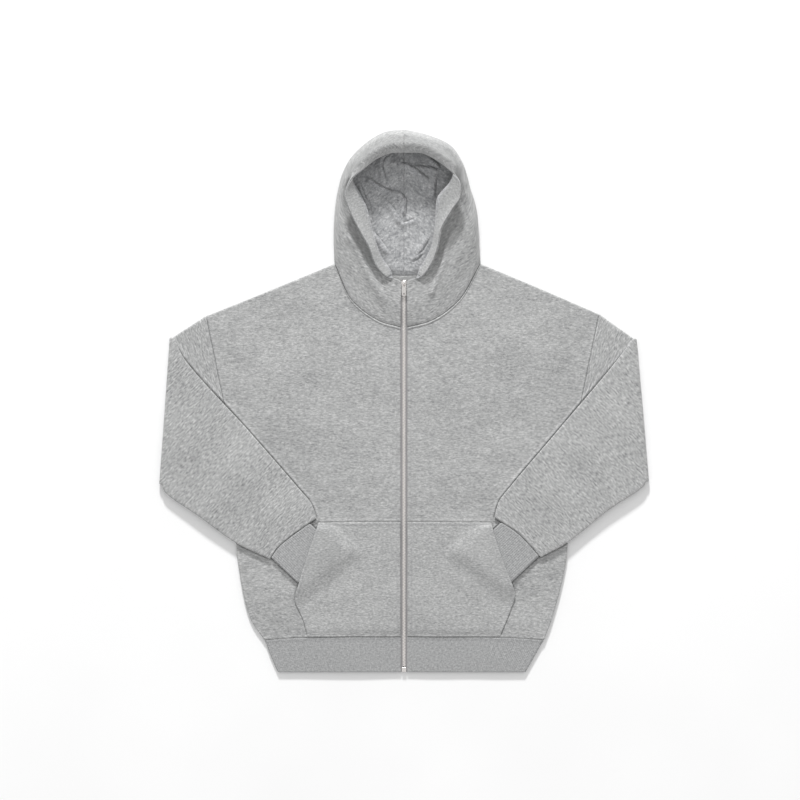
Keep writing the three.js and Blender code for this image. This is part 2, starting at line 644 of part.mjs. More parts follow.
// Two plates joined by a post between the chain's ends, with flanges down beside the teeth
function slider() {
  const outline = sliderOutline();
  const flangeLow = TAPE.high + SEAM_GAP;
  const flangeHeight = TOP_PLATE_Z - flangeLow + SLIDER.weld;
  const flangeX = (SLIDER.width - SLIDER.flange) / 2 - SLIDER.weld;
  const postLow = LOW_PLATE_Z + SLIDER.plate - SLIDER.weld;
  const postHeight = TOP_PLATE_Z + SLIDER.weld - postLow;
  const flangeLength = SLIDER.length * FLANGE_FORM.length;
  const flangeY = -SLIDER.length * FLANGE_FORM.middle;
  const flangeZ = flangeLow + flangeHeight / 2;
  const flange = (x) => block(SLIDER.flange, flangeLength, flangeHeight, x, flangeY, flangeZ);
  const bodies = [
    plate(outline, SLIDER.plate, TOP_PLATE_Z),
    plate(outline, SLIDER.plate, LOW_PLATE_Z),
    flange(flangeX),
    flange(-flangeX),
    block(POST.width, POST.length, postHeight, 0, -POST.inset - POST.length / 2, postLow + postHeight / 2),
    bridge(),
  ];
  return fromManifold(bodies.map(toManifold).reduce((whole, body) => whole.add(body)));
}

// The flat tab, with an eye round the bridge and a hole near its end
function pullTab() {
  const half = PULL.width / 2;
  const neck = PULL.neck / 2;
  const end = -PULL.length;
  const shape = new THREE.Shape();
  shape.moveTo(-neck, BAR);
  shape.lineTo(-neck, SHOULDER.start);
  shape.lineTo(-half, SHOULDER.end);
  shape.lineTo(-half, end + PULL.corner);
  shape.quadraticCurveTo(-half, end, -half + PULL.corner, end);
  shape.lineTo(half - PULL.corner, end);
  shape.quadraticCurveTo(half, end, half, end + PULL.corner);
  shape.lineTo(half, SHOULDER.end);
  shape.lineTo(neck, SHOULDER.start);
  shape.lineTo(neck, BAR);
  const eye = new THREE.Path();
  eye.moveTo(-EYE.width / 2, -BAR);
  eye.lineTo(EYE.width / 2, -BAR);
  eye.lineTo(EYE.width / 2, EYE.end);
  eye.lineTo(-EYE.width / 2, EYE.end);
  const hole = new THREE.Path();
  hole.absarc(0, end + HOLE.inset, HOLE.radius, 0, Math.PI * 2);
  shape.holes.push(eye, hole);
  return plate(shape, PULL.metal, -BAR);
}

// Scene graph
const hoodie = new THREE.Group();

function add(name, geometry, look, parent = hoodie) {
  const mesh = new THREE.Mesh(geometry, new THREE.MeshStandardMaterial(look));
  mesh.name = name;
  parent.add(mesh);
  return mesh;
}

add("back", wall(backPanel(), { high: MIDDLE_Z - SEAM_GAP / 2 }), MARL);
add("waistband", wall(waistband()), RIB);
for (const name of ["left", "right"]) {
  const side = SIDES[name];
  add(`front_${name}`, wall(frontPanel(side), { low: MIDDLE_Z + SEAM_GAP / 2 }), MARL);
  add(`sleeve_${name}`, wall(sleeve(side), { closed: true }), MARL);
  add(`cuff_${name}`, wall(cuff(side), { closed: true }), RIB);
  add(`pocket_${name}`, wall(pocket(side)), MARL);
  add(`hood_${name}`, wall(hood(name), side), MARL);
  add(`hood_hem_${name}`, wall(hemBand(name), { cloth: HEM_BAND.cloth, sign: side.sign }), MARL);
  add(`zip_${name}`, zipHalf(side.sign), TAPE_CLOTH);
}

const sliderFrame = new THREE.Group();
sliderFrame.position.set(0, SLIDER.top, SLIDER_Z);
hoodie.add(sliderFrame);
add("zip_slider", slider(), SILVER, sliderFrame);
add("zip_pull", pullTab(), SILVER, sliderFrame).position.set(0, PIVOT.y, PIVOT.z);
const boxPlace = [0, HEM_BOTTOM_Y + BOX.length / 2, FRONT_Z + (BOX.low + BOX.high) / 2];
add("zip_box", block(BOX.width, BOX.length, BOX.high - BOX.low, ...boxPlace), SILVER);

export default hoodie;
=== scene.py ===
# A zip up hoodie in grey marl, lying flat on its back: cloth shells with their creases, seams,
# stitches and ribs, and the zip with its teeth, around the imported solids. Sizes are millimetres
# in the tables and functions, and metres in Blender. Left and right are the wearer's.
import math

import bmesh
import bpy
import numpy as np
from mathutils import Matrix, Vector
from mathutils.bvhtree import BVHTree


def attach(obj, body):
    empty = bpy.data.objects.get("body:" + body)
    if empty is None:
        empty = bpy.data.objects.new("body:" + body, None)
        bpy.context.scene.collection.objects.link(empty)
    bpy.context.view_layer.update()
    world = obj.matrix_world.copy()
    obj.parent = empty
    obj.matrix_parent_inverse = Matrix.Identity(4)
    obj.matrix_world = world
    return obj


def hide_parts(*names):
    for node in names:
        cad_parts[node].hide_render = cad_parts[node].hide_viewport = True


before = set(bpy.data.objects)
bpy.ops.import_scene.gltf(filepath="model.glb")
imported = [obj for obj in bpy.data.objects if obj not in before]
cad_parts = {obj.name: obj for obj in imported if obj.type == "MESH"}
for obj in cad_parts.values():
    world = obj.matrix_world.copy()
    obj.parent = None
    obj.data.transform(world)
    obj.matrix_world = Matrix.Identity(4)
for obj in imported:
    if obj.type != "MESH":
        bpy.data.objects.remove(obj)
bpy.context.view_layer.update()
MM = 0.001
BODY = "garment"
PULL_BODY = "pull"

# Cloth and stacking heights
CLOTH = 2.0
SEAM_GAP = 0.3
BACK_Z = 1.0
FRONT_Z = 4.5
MIDDLE_Z = 2.75
ROLL = 1.75
FOREARM_Z = 8.75
CUFF_Z = 8.55
POCKET_Z = 6.8

# Body lengths
ZIP_SPACE = 5.4
NECK_BACK_Y = 216.0
HEM_CENTRE_Y = -404.0
HEM_SIDE_Y = -410.0
HEM_BOTTOM_Y = -465.0
HEM_BEND = 4
PIT_SHARE = 0.575
FRONT_SPLIT = 0.41
BACK_SPLIT = 0.34

# Outline of each half, as distances from the zip and heights up the body
SIDES = {
    "left": {
        "sign": 1,
        "shoulder": [(131, 236), (236, 192), (335, 149)],
        "armhole": [(287, -83), (335, 149)],
        "side": [(240, -410), (255, -369), (276, -286), (281, -242), (287, -83)],
        "neck": [(5.8, 128), (51, 141), (97, 177), (131, 236)],
        "rib": [(239, -410), (224, -438), (208, -465)],
        "fold_top": (400, 107),
        "fold_bottom": (421, -137),
        "fold_side": [(400, 107), (411, -20), (421, -137)],
        "forearm_upper": [(400, 107), (355, 56), (256, -61), (179, -152), (164, -172), (156, -200)],
        "forearm_lower": [(421, -137), (410, -146), (351, -186), (280, -242), (234, -267)],
        "cuff_seam": [(156, -200), (192, -223), (210, -240), (234, -267)],
        "cuff_end": [(114, -258), (183, -311)],
        "pocket_side": [
            (165, -403.5), (184, -357), (191, -332), (184, -309), (176, -290), (157, -236), (150, -208),
        ],
    },
    "right": {
        "sign": -1,
        "shoulder": [(119, 236), (230, 190), (340, 146)],
        "armhole": [(292, -87), (340, 146)],
        "side": [(239, -410), (264, -372), (285, -274), (288, -242), (292, -87)],
        "neck": [(5.8, 128), (43, 139), (91, 176), (119, 236)],
        "rib": [(238, -410), (230, -434), (216, -465)],
        "fold_top": (403, 109),
        "fold_bottom": (421, -142),
        "fold_side": [(403, 109), (412, -20), (421, -142)],
        "forearm_upper": [(403, 109), (377, 71), (265, -54), (180, -152), (160, -176), (151, -201)],
        "forearm_lower": [(421, -142), (410, -155), (350, -198), (287, -243), (230, -270)],
        "cuff_seam": [(151, -201), (191, -229), (217, -251), (230, -270)],
        "cuff_end": [(112, -256), (182, -311)],
        "pocket_side": [
            (166, -403.5), (174, -374), (187, -345), (187, -334), (181, -313), (166, -265), (147, -208),
        ],
    },
}
CUFF_SHARES = (0.14, 0.97)

# Hood sections from the neck seam to the crown: centre seam on the floor, depth of the outline's
# fold, height of its crest, of the valley, of the lip's root and of the free edge. Round the crown
# the lip rolls inwards, and its root is the ridge.
HOOD_HEIGHTS = [
    (216.3, 1.75, 4.5, 4.5, 4.5, 4.5),
    (232, 4, 9, 10.5, 11.5, 11.5),
    (246, 6, 13, 12, 12, 12),
    (252, 7, 15, 12, 12, 17),
    (265, 8, 17, 12, 12, 24),
    (285, 9, 19, 12, 13, 30),
    (308, 9, 19, 12, 14, 34),
    (333, 9, 19, 12, 16, 38),
    (358, 10, 22, 15, 21, 41),
    (382, 11, 28, 31, 34, 43),
    (404, 9, 39, 42, 44, 42),
    (425, 6, 43, 47, 49, 43),
    (440, 6, 46, 50, 51.5, 44),
    (446, 6, 46.5, 50.5, 52, 44.5),
]
HOOD_PLANS = {
    "left": {
        "out": [
            (131, 237), (129, 258), (128, 272), (128, 280), (127, 292), (126.5, 306), (125, 322),
            (120, 345), (113, 366), (107, 390), (97, 415), (79, 439), (42, 456), (0.15, 465.8),
        ],
        "root": [
            (51, 141.3), (44, 185), (26, 202), (25, 222), (38, 246), (48, 268), (53, 293),
            (55, 322), (58, 350), (80, 378), (86, 404), (64, 421), (33, 438), (0.15, 441.5),
        ],
        "edge": [
            (5.8, 128.3), (5.4, 168), (6, 207), (30, 214), (47, 235), (58, 262), (65, 296),
            (83, 328), (97, 351), (95, 379), (78, 396), (57, 412), (31, 425), (0.15, 426),
        ],
    },
    "right": {
        "out": [
            (119, 237), (119.5, 258), (120, 272), (120, 280), (120, 290), (119.7, 304), (118.5, 322),
            (116, 345), (112, 366), (105, 391), (91, 417), (66, 442), (34, 461), (0.15, 465.8),
        ],
        "root": [
            (43, 139.3), (38, 185), (22, 202), (22, 221), (38, 246), (47, 268), (54, 292),
            (64, 331), (76, 357), (90, 384), (77, 406), (54, 425), (28, 438), (0.15, 441.5),
        ],
        "edge": [
            (5.8, 128.3), (5.4, 168), (6, 207), (30, 214), (50, 235), (60, 262), (76, 291),
            (95, 330), (102, 355), (92, 380), (70, 397), (47, 415), (24, 425), (0.15, 426),
        ],
    },
}
HOOD_CONTROLS = 6
NECK_GAP = 0.6
HEM_BAND_START = 5.3
HEM_BAND_PLACE = 6 / 26
HEM_BAND_CLOTH = 1.6

# Finer steps of the shells
EDGE_LINES = np.array([0, 0.35, 0.8, 1.3, 1.9, 2.6, 3.4, 4.2, 4.8, 5.4, 6.2, 7.2, 8.8, 11.0])
BAND_LINES = np.array([0, 0.5, 1.1, 1.9, 3.0, 4.4, 6.0, 9.0])
GRID_STEP = 4.5
BACK_STEP = 9.0
TAPER = 1.0
THINNEST = 0.25
SPLINE_STEPS = 600


# Curves
class Spline:
    """A centripetal Catmull-Rom curve through table points."""

    def __init__(self, points, sign=1):
        rows = [(sign * p[0], p[1], p[2] if len(p) > 2 else 0.0) for p in points]
        self.points = np.array(rows, float)
        shares = np.linspace(0, 1, SPLINE_STEPS)
        dense = self.at(shares)
        lengths = np.concatenate([[0], np.cumsum(np.linalg.norm(np.diff(dense, axis=0), axis=1))])
        self.length = lengths[-1]
        self.shares = shares
        self.run = lengths / lengths[-1]

    def at(self, t):
        """The point at t, where the table's points are evenly spaced in t."""
        t = np.atleast_1d(np.asarray(t, float))
        p = self.points
        padded = np.vstack([2 * p[0] - p[1], p, 2 * p[-1] - p[-2]])
        place = np.clip(t, 0, 1) * (len(p) - 1)
        i = np.minimum(place.astype(int), len(p) - 2)
        w = (place - i)[:, None]
        p0, p1, p2, p3 = (padded[i + k] for k in range(4))
        d0, d1, d2 = (np.sqrt(np.linalg.norm(b - a, axis=1))[:, None] for a, b in ((p0, p1), (p1, p2), (p2, p3)))
        d1 = np.where(d1 < 1e-4, 1.0, d1)
        d0 = np.where(d0 < 1e-4, d1, d0)
        d2 = np.where(d2 < 1e-4, d1, d2)
        m1 = ((p1 - p0) / d0 - (p2 - p0) / (d0 + d1) + (p2 - p1) / d1) * d1
        m2 = ((p2 - p1) / d1 - (p3 - p1) / (d1 + d2) + (p3 - p2) / d2) * d1
        c2 = -3 * p1 + 3 * p2 - 2 * m1 - m2
        c3 = 2 * p1 - 2 * p2 + m1 + m2
        return p1 + m1 * w + c2 * w**2 + c3 * w**3

    def along(self, t):
        """The point at a share t of the curve's length."""
        return self.at(np.interp(np.atleast_1d(t), self.run, self.shares))


def joined(first, second, where):
    """Two curves end to end, meeting at the share where."""

    def point(t):
        t = np.atleast_1d(t)
        near = first.along(np.minimum(t / where, 1))
        far = second.along(np.maximum((t - where) / (1 - where), 0))
        return np.where((t <= where)[:, None], near, far)

    return point


def coons(bottom, top, inner, outer, us, vs):
    """Points inside four edge curves, rows over vs and columns over us."""
    u = np.asarray(us)[None, :, None]
    v = np.asarray(vs)[:, None, None]
    low, high = bottom(us)[None], top(us)[None]
    near, far = inner(vs)[:, None], outer(vs)[:, None]
    corner = [bottom([0.0])[0], bottom([1.0])[0], top([0.0])[0], top([1.0])[0]]
    flat = (1 - u) * (1 - v) * corner[0] + u * (1 - v) * corner[1]
    flat = flat + (1 - u) * v * corner[2] + u * v * corner[3]
    return low * (1 - v) + high * v + near * (1 - u) + far * u - flat


def smooth(t):
    s = np.clip(t, 0, 1)
    return s * s * (3 - 2 * s)


def fine_steps(length, low=EDGE_LINES, high=EDGE_LINES, step=GRID_STEP):
    """Shares of a length with close lines at both ends and even ones between."""
    ends = low[-1], length - high[-1]
    count = max(2, int((ends[1] - ends[0]) / step))
    middle = np.linspace(*ends, count + 1)[1:-1]
    return np.concatenate([low, middle, length - high[::-1]]) / length


def edge_distance(grid, axis, last):
    """Distance from each point along its grid line to the first or last edge."""
    runs = np.linalg.norm(np.diff(grid, axis=axis), axis=2)
    total = np.cumsum(runs, axis=axis)
    zero = np.zeros_like(np.take(total, [0], axis=axis))
    total = np.concatenate([zero, total], axis=axis)
    return np.take(total, [-1], axis=axis) - total if last else total


# Soft relief of the whole front, shared by every layer that lies on it: places of creases from
# end to end, half width and height
CREASES = [
    (-70, -96, -175, -118, 9, 1.2), (-52, -130, -128, -140, 7, 1.5), (-66, -148, -150, -163, 6, 1.1),
    (-30, -112, -70, -118, 8, 0.9), (60, -128, 150, -122, 9, 0.9), (42, -160, 118, -158, 6, 0.8),
    (-250, 70, -190, 10, 16, 1.8), (-300, 40, -235, -40, 13, 1.6), (-212, 130, -120, 110, 18, 1.2),
    (245, 75, 185, 0, 16, 1.8), (300, 45, 240, -30, 13, 1.5), (215, 130, 130, 100, 18, 1.1),
    (-40, 100, -60, 20, 14, 0.8), (36, 96, 48, 10, 13, 0.8), (24, -240, 20, -330, 9, 1.0),
    (-24, -250, -20, -340, 10, 0.9), (-60, -300, -150, -352, 12, 1.2), (70, -296, 140, -350, 12, 1.3),
    (-205, -330, -262, -290, 12, 1.6), (210, -330, 262, -285, 12, 1.6), (-200, -385, -238, -345, 9, 1.1),
    (205, -385, 236, -345, 9, 1.1), (-95, -225, -118, -380, 14, 0.7), (98, -225, 112, -380, 14, 0.7),
    (-290, -190, -340, -110, 11, 1.8), (-255, -150, -330, -60, 14, 1.2), (-230, -200, -262, -140, 9, 1.2),
    (290, -188, 342, -108, 11, 1.8), (255, -148, 332, -58, 14, 1.2), (228, -204, 262, -142, 9, 1.2),
    (-385, -120, -300, -175, 10, 1.3), (388, -118, 300, -172, 10, 1.3),
]
WAVES = 14
WAVE_LENGTHS = (70, 210)
WAVE_HEIGHT = 0.16
CREASE_SHARE = 0.45
SEED = 7


def make_waves():
    """Directions, phases and lengths of the long, low waves in the cloth."""
    rng = np.random.default_rng(SEED)
    angle = rng.uniform(0, math.pi, WAVES)
    length = rng.uniform(*WAVE_LENGTHS, WAVES)
    phase = rng.uniform(0, 2 * math.pi, WAVES)
    return np.stack([np.cos(angle) / length, np.sin(angle) / length, phase], axis=1)


WAVE_TABLE = make_waves()


def crease(x, y, x1, y1, x2, y2, width, height):
    """One ridge along a line, fading at both ends."""
    dx, dy = x2 - x1, y2 - y1
    length = math.hypot(dx, dy)
    along = ((x - x1) * dx + (y - y1) * dy) / length
    across = ((x - x1) * dy - (y - y1) * dx) / length
    bend = across + 0.05 * length * np.sin(math.pi * along / length)
    past = np.maximum(np.maximum(-along, along - length), 0)
    return height * np.exp(-((bend / width) ** 2) - (past / (1.6 * width)) ** 2)


def relief(x, y):
    """Height of the soft folds at a place of the front, never below its flat height."""
    total = np.zeros_like(x)
    for row in CREASES:
        total += crease(x, y, *row)
    waves = np.zeros_like(x)
    for kx, ky, phase in WAVE_TABLE:
        waves += np.sin(2 * math.pi * (kx * x + ky * y) + phase)
    return CREASE_SHARE * total + WAVE_HEIGHT * (waves + 2.2)


def raised(grid, share=1.0):
    """The grid with the relief added to its upper layers."""
    out = grid.copy()
    lift = relief(grid[..., 0], grid[..., 1])
    layer = np.clip((grid[..., 2] - BACK_Z) / (FRONT_Z - BACK_Z), 0, 1)
    out[..., 2] += lift * layer * share
    return out


# Meshes
def grid_normals(grid, closed):
    """Unit normals of a grid of points."""
    if closed:
        across = np.roll(grid, -1, axis=1) - np.roll(grid, 1, axis=1)
    else:
        across = np.gradient(grid, axis=1)
    along = np.gradient(grid, axis=0)
    normal = np.cross(across, along)
    return normal / np.maximum(np.linalg.norm(normal, axis=2, keepdims=True), 1e-9)


def thickness(grid, cloth, closed, free):
    """Cloth thickness at each point, rounded off towards the edges named in free."""
    share = np.ones(grid.shape[:2])
    edges = {"start": (0, False), "end": (0, True)}
    if not closed:
        edges |= {"inner": (1, False), "outer": (1, True)}
    for name, (axis, last) in edges.items():
        if name in free:
            distance = np.clip(edge_distance(grid, axis, last) / TAPER, 0, 1)
            share = np.minimum(share, np.sqrt(np.maximum(1 - (1 - distance) ** 2, 0.12)))
    return share * cloth


ALL_EDGES = ("start", "end", "inner", "outer")


def wall_faces(rows, columns, closed):
    """Quads of a closed wall round a grid: outer skin, inner skin and the edges between them."""
    across = columns if closed else columns - 1
    i, j = np.meshgrid(np.arange(rows - 1), np.arange(across), indexing="ij")
    i, j = i.ravel(), j.ravel()
    k = (j + 1) % columns
    inner = rows * columns
    a, b, c, d = i * columns + j, i * columns + k, (i + 1) * columns + k, (i + 1) * columns + j
    outer_skin = np.stack([a, b, c, d], axis=1)
    inner_skin = np.stack([a, d, c, b], axis=1) + inner
    j = np.arange(across)
    k = (j + 1) % columns
    last = (rows - 1) * columns
    rims = [
        np.stack([j, j + inner, k + inner, k], axis=1),
        np.stack([last + j, last + k, last + k + inner, last + j + inner], axis=1),
    ]
    if not closed:
        i = np.arange(rows - 1) * columns
        e = i + columns - 1
        rims.append(np.stack([i, i + columns, i + columns + inner, i + inner], axis=1))
        rims.append(np.stack([e, e + inner, e + columns + inner, e + columns], axis=1))
    return outer_skin, inner_skin, np.concatenate(rims)


def build_mesh(name, points, faces, materials, indices=None, knit=None):
    """An object from points in millimetres and faces, with smooth shading and the knit's directions."""
    mesh = bpy.data.meshes.new(name)
    mesh.from_pydata((np.asarray(points) * MM).tolist(), [], [tuple(face) for face in faces])
    for material in materials:
        mesh.materials.append(material)
    if indices is not None:
        mesh.polygons.foreach_set("material_index", indices)
    if knit is not None:
        attribute = mesh.attributes.new("knit", "FLOAT_VECTOR", "POINT")
        attribute.data.foreach_set("vector", np.asarray(knit, np.float32).ravel())
    piece = bpy.data.objects.new(name, mesh)
    bpy.context.scene.collection.objects.link(piece)
    turn_outwards(mesh)
    mesh.shade_smooth()
    mesh.set_sharp_from_angle(angle=math.radians(50))
    return piece


def turn_outwards(mesh):
    """Faces point out of each closed piece."""
    work = bmesh.new()
    work.from_mesh(mesh)
    bmesh.ops.recalc_face_normals(work, faces=work.faces)
    work.to_mesh(mesh)
    work.free()


def grid_knit(grid, closed, shift):
    """Cloth coordinates of a grid in millimetres: across its rows and along its columns."""
    across = edge_distance(grid, 1, False)
    along = edge_distance(grid, 0, False)
    middle = across[:, [across.shape[1] // 2]]
    return np.stack([across - middle + shift, along, np.zeros_like(across)], axis=2)


def outside_of(grid, normals):
    """1 where the normals of a band or tube point away from its middle, otherwise -1."""
    away = grid - grid.mean(axis=1, keepdims=True)
    return 1 if (away * normals).sum() > 0 else -1


def cloth_piece(name, grid, looks, cloth=CLOTH, closed=False, free=ALL_EDGES, knit=None, sign=0, low=0.0,
                high=1e9, shift=0.0, outside=0, lift=None):
    """A wall of cloth round a grid of middle points, with a relief of its outer skin."""
    normals = grid_normals(grid, closed)
    if outside == 0:
        outside = outside_of(grid, normals)
    normals = normals * outside
    half = (thickness(grid, cloth, closed, free) / 2)[..., None]
    outer = half if lift is None else np.maximum(half + lift[..., None], THINNEST - half)
    upper = grid + normals * outer
    lower = grid - normals * half
    points = np.concatenate([upper.reshape(-1, 3), lower.reshape(-1, 3)])
    points[:, 2] = np.clip(points[:, 2], low, high)
    if sign:
        points[:, 0] = sign * np.maximum(sign * points[:, 0], SEAM_GAP / 2)
    outer_skin, inner_skin, rims = wall_faces(*grid.shape[:2], closed)
    faces = np.concatenate([outer_skin, inner_skin, rims])
    kinds = [0] * len(outer_skin) + [len(looks) - 1] * len(inner_skin) + [0] * len(rims)
    if knit is None:
        knit = grid_knit(grid, closed, shift)
    knit = np.concatenate([knit.reshape(-1, 3)] * 2)
    return build_mesh(name, points, faces, looks, kinds, knit)


# Materials
def new_material(name):
    """A material using nodes; its tree starts with just the surface and the output."""
    material = bpy.data.materials.new(name)
    material.use_nodes = True
    return material, material.node_tree.nodes, material.node_tree.links


def math_node(nodes, links, operation, first, second):
    """A Math node of two values or sockets, as its output."""
    node = nodes.new("ShaderNodeMath")
    node.operation = operation
    for socket, value in zip(node.inputs, (first, second)):
        if isinstance(value, (int, float)):
            socket.default_value = value
        else:
            links.new(value, socket)
    return node.outputs[0]


def noise(nodes, links, vector, scale, detail=2.0, rough=0.5):
    """Noise over the knit's coordinates, stretched by a scale for each direction."""
    mapping = nodes.new("ShaderNodeMapping")
    mapping.inputs["Scale"].default_value = scale
    links.new(vector, mapping.inputs["Vector"])
    texture = nodes.new("ShaderNodeTexNoise")
    texture.inputs["Scale"].default_value = 1.0
    texture.inputs["Detail"].default_value = detail
    texture.inputs["Roughness"].default_value = rough
    links.new(mapping.outputs["Vector"], texture.inputs["Vector"])
    return texture.outputs["Fac"]


def knit_vector(nodes):
    attribute = nodes.new("ShaderNodeAttribute")
    attribute.attribute_name = "knit"
    return attribute.outputs["Vector"]


def weighted_sum(nodes, links, terms):
    """Sum of noises about their middle, each with its weight, about one half."""
    total = None
    for value, weight in terms:
        centred = math_node(nodes, links, "SUBTRACT", value, 0.5)
        part = math_node(nodes, links, "MULTIPLY", centred, weight)
        total = part if total is None else math_node(nodes, links, "ADD", total, part)
    return math_node(nodes, links, "ADD", total, 0.5)


def ramp(nodes, links, value, stops):
    """A colour ramp with its stops as (place, colour)."""
    node = nodes.new("ShaderNodeValToRGB")
    elements = node.color_ramp.elements
    while len(elements) < len(stops):
        elements.new(0.5)
    for element, (place, colour) in zip(elements, stops):
        element.position = place
        element.color = (*colour, 1)
    links.new(value, node.inputs["Fac"])
    return node.outputs["Color"]


def stitch_height(nodes, links, vector, wale, course):
    """Height of knit columns and rows with the given pitches in millimetres."""
    parts = nodes.new("ShaderNodeSeparateXYZ")
    links.new(vector, parts.inputs[0])
    columns = math_node(nodes, links, "SINE", math_node(nodes, links, "MULTIPLY", parts.outputs["X"], math.tau / wale), 0)
    rows = math_node(nodes, links, "SINE", math_node(nodes, links, "MULTIPLY", parts.outputs["Y"], math.tau / course), 0)
    return math_node(nodes, links, "ADD", columns, math_node(nodes, links, "MULTIPLY", rows, 0.6))


def bump(nodes, links, height, strength, distance, shader):
    node = nodes.new("ShaderNodeBump")
    node.inputs["Strength"].default_value = strength
    node.inputs["Distance"].default_value = distance
    links.new(height, node.inputs["Height"])
    links.new(node.outputs["Normal"], shader.inputs["Normal"])


def cloth_shader(nodes, roughness=0.92, sheen=0.25):
    shader = nodes["Principled BSDF"]
    shader.inputs["Roughness"].default_value = roughness
    shader.inputs["Specular IOR Level"].default_value = 0.15
    shader.inputs["Sheen Weight"].default_value = sheen
    shader.inputs["Sheen Roughness"].default_value = 0.5
    return shader


MARL_STOPS = [
    (0.10, (0.165, 0.168, 0.172)),
    (0.38, (0.335, 0.338, 0.338)),
    (0.55, (0.435, 0.438, 0.436)),
    (0.88, (0.680, 0.682, 0.675)),
]
RIB_STOPS = [
    (0.10, (0.120, 0.122, 0.124)),
    (0.40, (0.300, 0.303, 0.305)),
    (0.60, (0.430, 0.433, 0.434)),
    (0.90, (0.680, 0.682, 0.680)),
]
FLEECE_STOPS = [
    (0.16, (0.150, 0.154, 0.162)),
    (0.42, (0.320, 0.325, 0.333)),
    (0.58, (0.450, 0.454, 0.460)),
    (0.82, (0.730, 0.733, 0.736)),
]


def marl_material(name, streak):
    """Grey marl: light and dark fibres in short streaks along the knit's rows."""
    material, nodes, links = new_material(name)
    vector = knit_vector(nodes)
    pitch, weight, long_weight = streak
    value = weighted_sum(nodes, links, [
        (noise(nodes, links, vector, (*pitch, 1), 3, 0.6), weight),
        (noise(nodes, links, vector, (0.07, 0.30, 1), 2, 0.6), long_weight),
        (noise(nodes, links, vector, (0.9, 1.6, 1), 2, 0.6), 0.55),
        (noise(nodes, links, vector, (0.010, 0.018, 1), 1, 0.5), 0.18),
    ])
    shader = cloth_shader(nodes)
    links.new(ramp(nodes, links, value, MARL_STOPS), shader.inputs["Base Color"])
    height = math_node(nodes, links, "ADD", stitch_height(nodes, links, vector, 1.3, 1.0), value)
    bump(nodes, links, height, 0.35, 0.00025, shader)
    return material


def rib_material():
    """Rib knit of the same yarn, smoother and slightly darker."""
    material, nodes, links = new_material("marl_rib")
    vector = knit_vector(nodes)
    value = weighted_sum(nodes, links, [
        (noise(nodes, links, vector, (0.22, 0.34, 1), 3, 0.6), 0.70),
        (noise(nodes, links, vector, (0.45, 0.8, 1), 2, 0.6), 0.55),
        (noise(nodes, links, vector, (1.4, 1.6, 1), 2, 0.6), 0.35),
    ])
    shader = cloth_shader(nodes)
    links.new(ramp(nodes, links, value, RIB_STOPS), shader.inputs["Base Color"])
    height = math_node(nodes, links, "ADD", stitch_height(nodes, links, vector, 1.5, 0.9), value)
    bump(nodes, links, height, 0.3, 0.0002, shader)
    return material


def fleece_material():
    """The brushed reverse: cloudy light and dark patches with a soft nap."""
    material, nodes, links = new_material("fleece_reverse")
    vector = knit_vector(nodes)
    value = weighted_sum(nodes, links, [
        (noise(nodes, links, vector, (0.19, 0.22, 1), 5, 0.7), 1.25),
        (noise(nodes, links, vector, (0.05, 0.06, 1), 2, 0.5), 0.35),
        (noise(nodes, links, vector, (0.7, 0.8, 1), 3, 0.6), 0.8),
    ])
    shader = cloth_shader(nodes, 0.97, 0.4)
    links.new(ramp(nodes, links, value, FLEECE_STOPS), shader.inputs["Base Color"])
    bump(nodes, links, value, 0.5, 0.0008, shader)
    return material


def thread_material():
    """Polyester sewing thread with its twist."""
    material, nodes, links = new_material("grey_thread")
    vector = knit_vector(nodes)
    twist = noise(nodes, links, vector, (2.0, 2.0, 1), 1, 0.5)
    shader = cloth_shader(nodes, 0.7, 0.1)
    stops = [(0.2, (0.30, 0.30, 0.31)), (0.8, (0.46, 0.46, 0.47))]
    links.new(ramp(nodes, links, twist, stops), shader.inputs["Base Color"])
    return material


def tape_material():
    """The zip's woven tape."""
    material, nodes, links = new_material("zip_tape_weave")
    vector = knit_vector(nodes)
    grain = noise(nodes, links, vector, (1.2, 3.0, 1), 2, 0.5)
    shader = cloth_shader(nodes, 0.75, 0.1)
    stops = [(0.2, (0.25, 0.245, 0.25)), (0.8, (0.40, 0.39, 0.395))]
    links.new(ramp(nodes, links, grain, stops), shader.inputs["Base Color"])
    bump(nodes, links, stitch_height(nodes, links, vector, 0.8, 0.8), 0.3, 0.0001, shader)
    return material


def metal_material(name, shine):
    """Silver metal with fine wear; shine scales its roughness."""
    material, nodes, links = new_material(name)
    coordinates = nodes.new("ShaderNodeTexCoord")
    wear = noise(nodes, links, coordinates.outputs["Object"], (600, 600, 600), 3, 0.6)
    shader = nodes["Principled BSDF"]
    shader.inputs["Metallic"].default_value = 1.0
    stops = [(0.3, (0.86, 0.825, 0.80)), (0.7, (0.93, 0.90, 0.88))]
    links.new(ramp(nodes, links, wear, stops), shader.inputs["Base Color"])
    roughness = math_node(nodes, links, "MULTIPLY", wear, shine)
    links.new(roughness, shader.inputs["Roughness"])
    return material


MARL = marl_material("marl_knit", ((0.22, 0.52), 1.10, 0.32))
SLEEVE_MARL = marl_material("marl_knit_sleeve", ((0.155, 0.46), 1.35, 0.55))
RIB = rib_material()
FLEECE = fleece_material()
THREAD = thread_material()
TAPE = tape_material()
SILVER = metal_material("zip_silver", 0.5)
TEETH_SILVER = metal_material("zip_teeth_silver", 1.1)


# Stage, light and camera
PIXEL = 1.72
PHOTO_CENTRE = (-6.9, 2.6)
LENS = 300


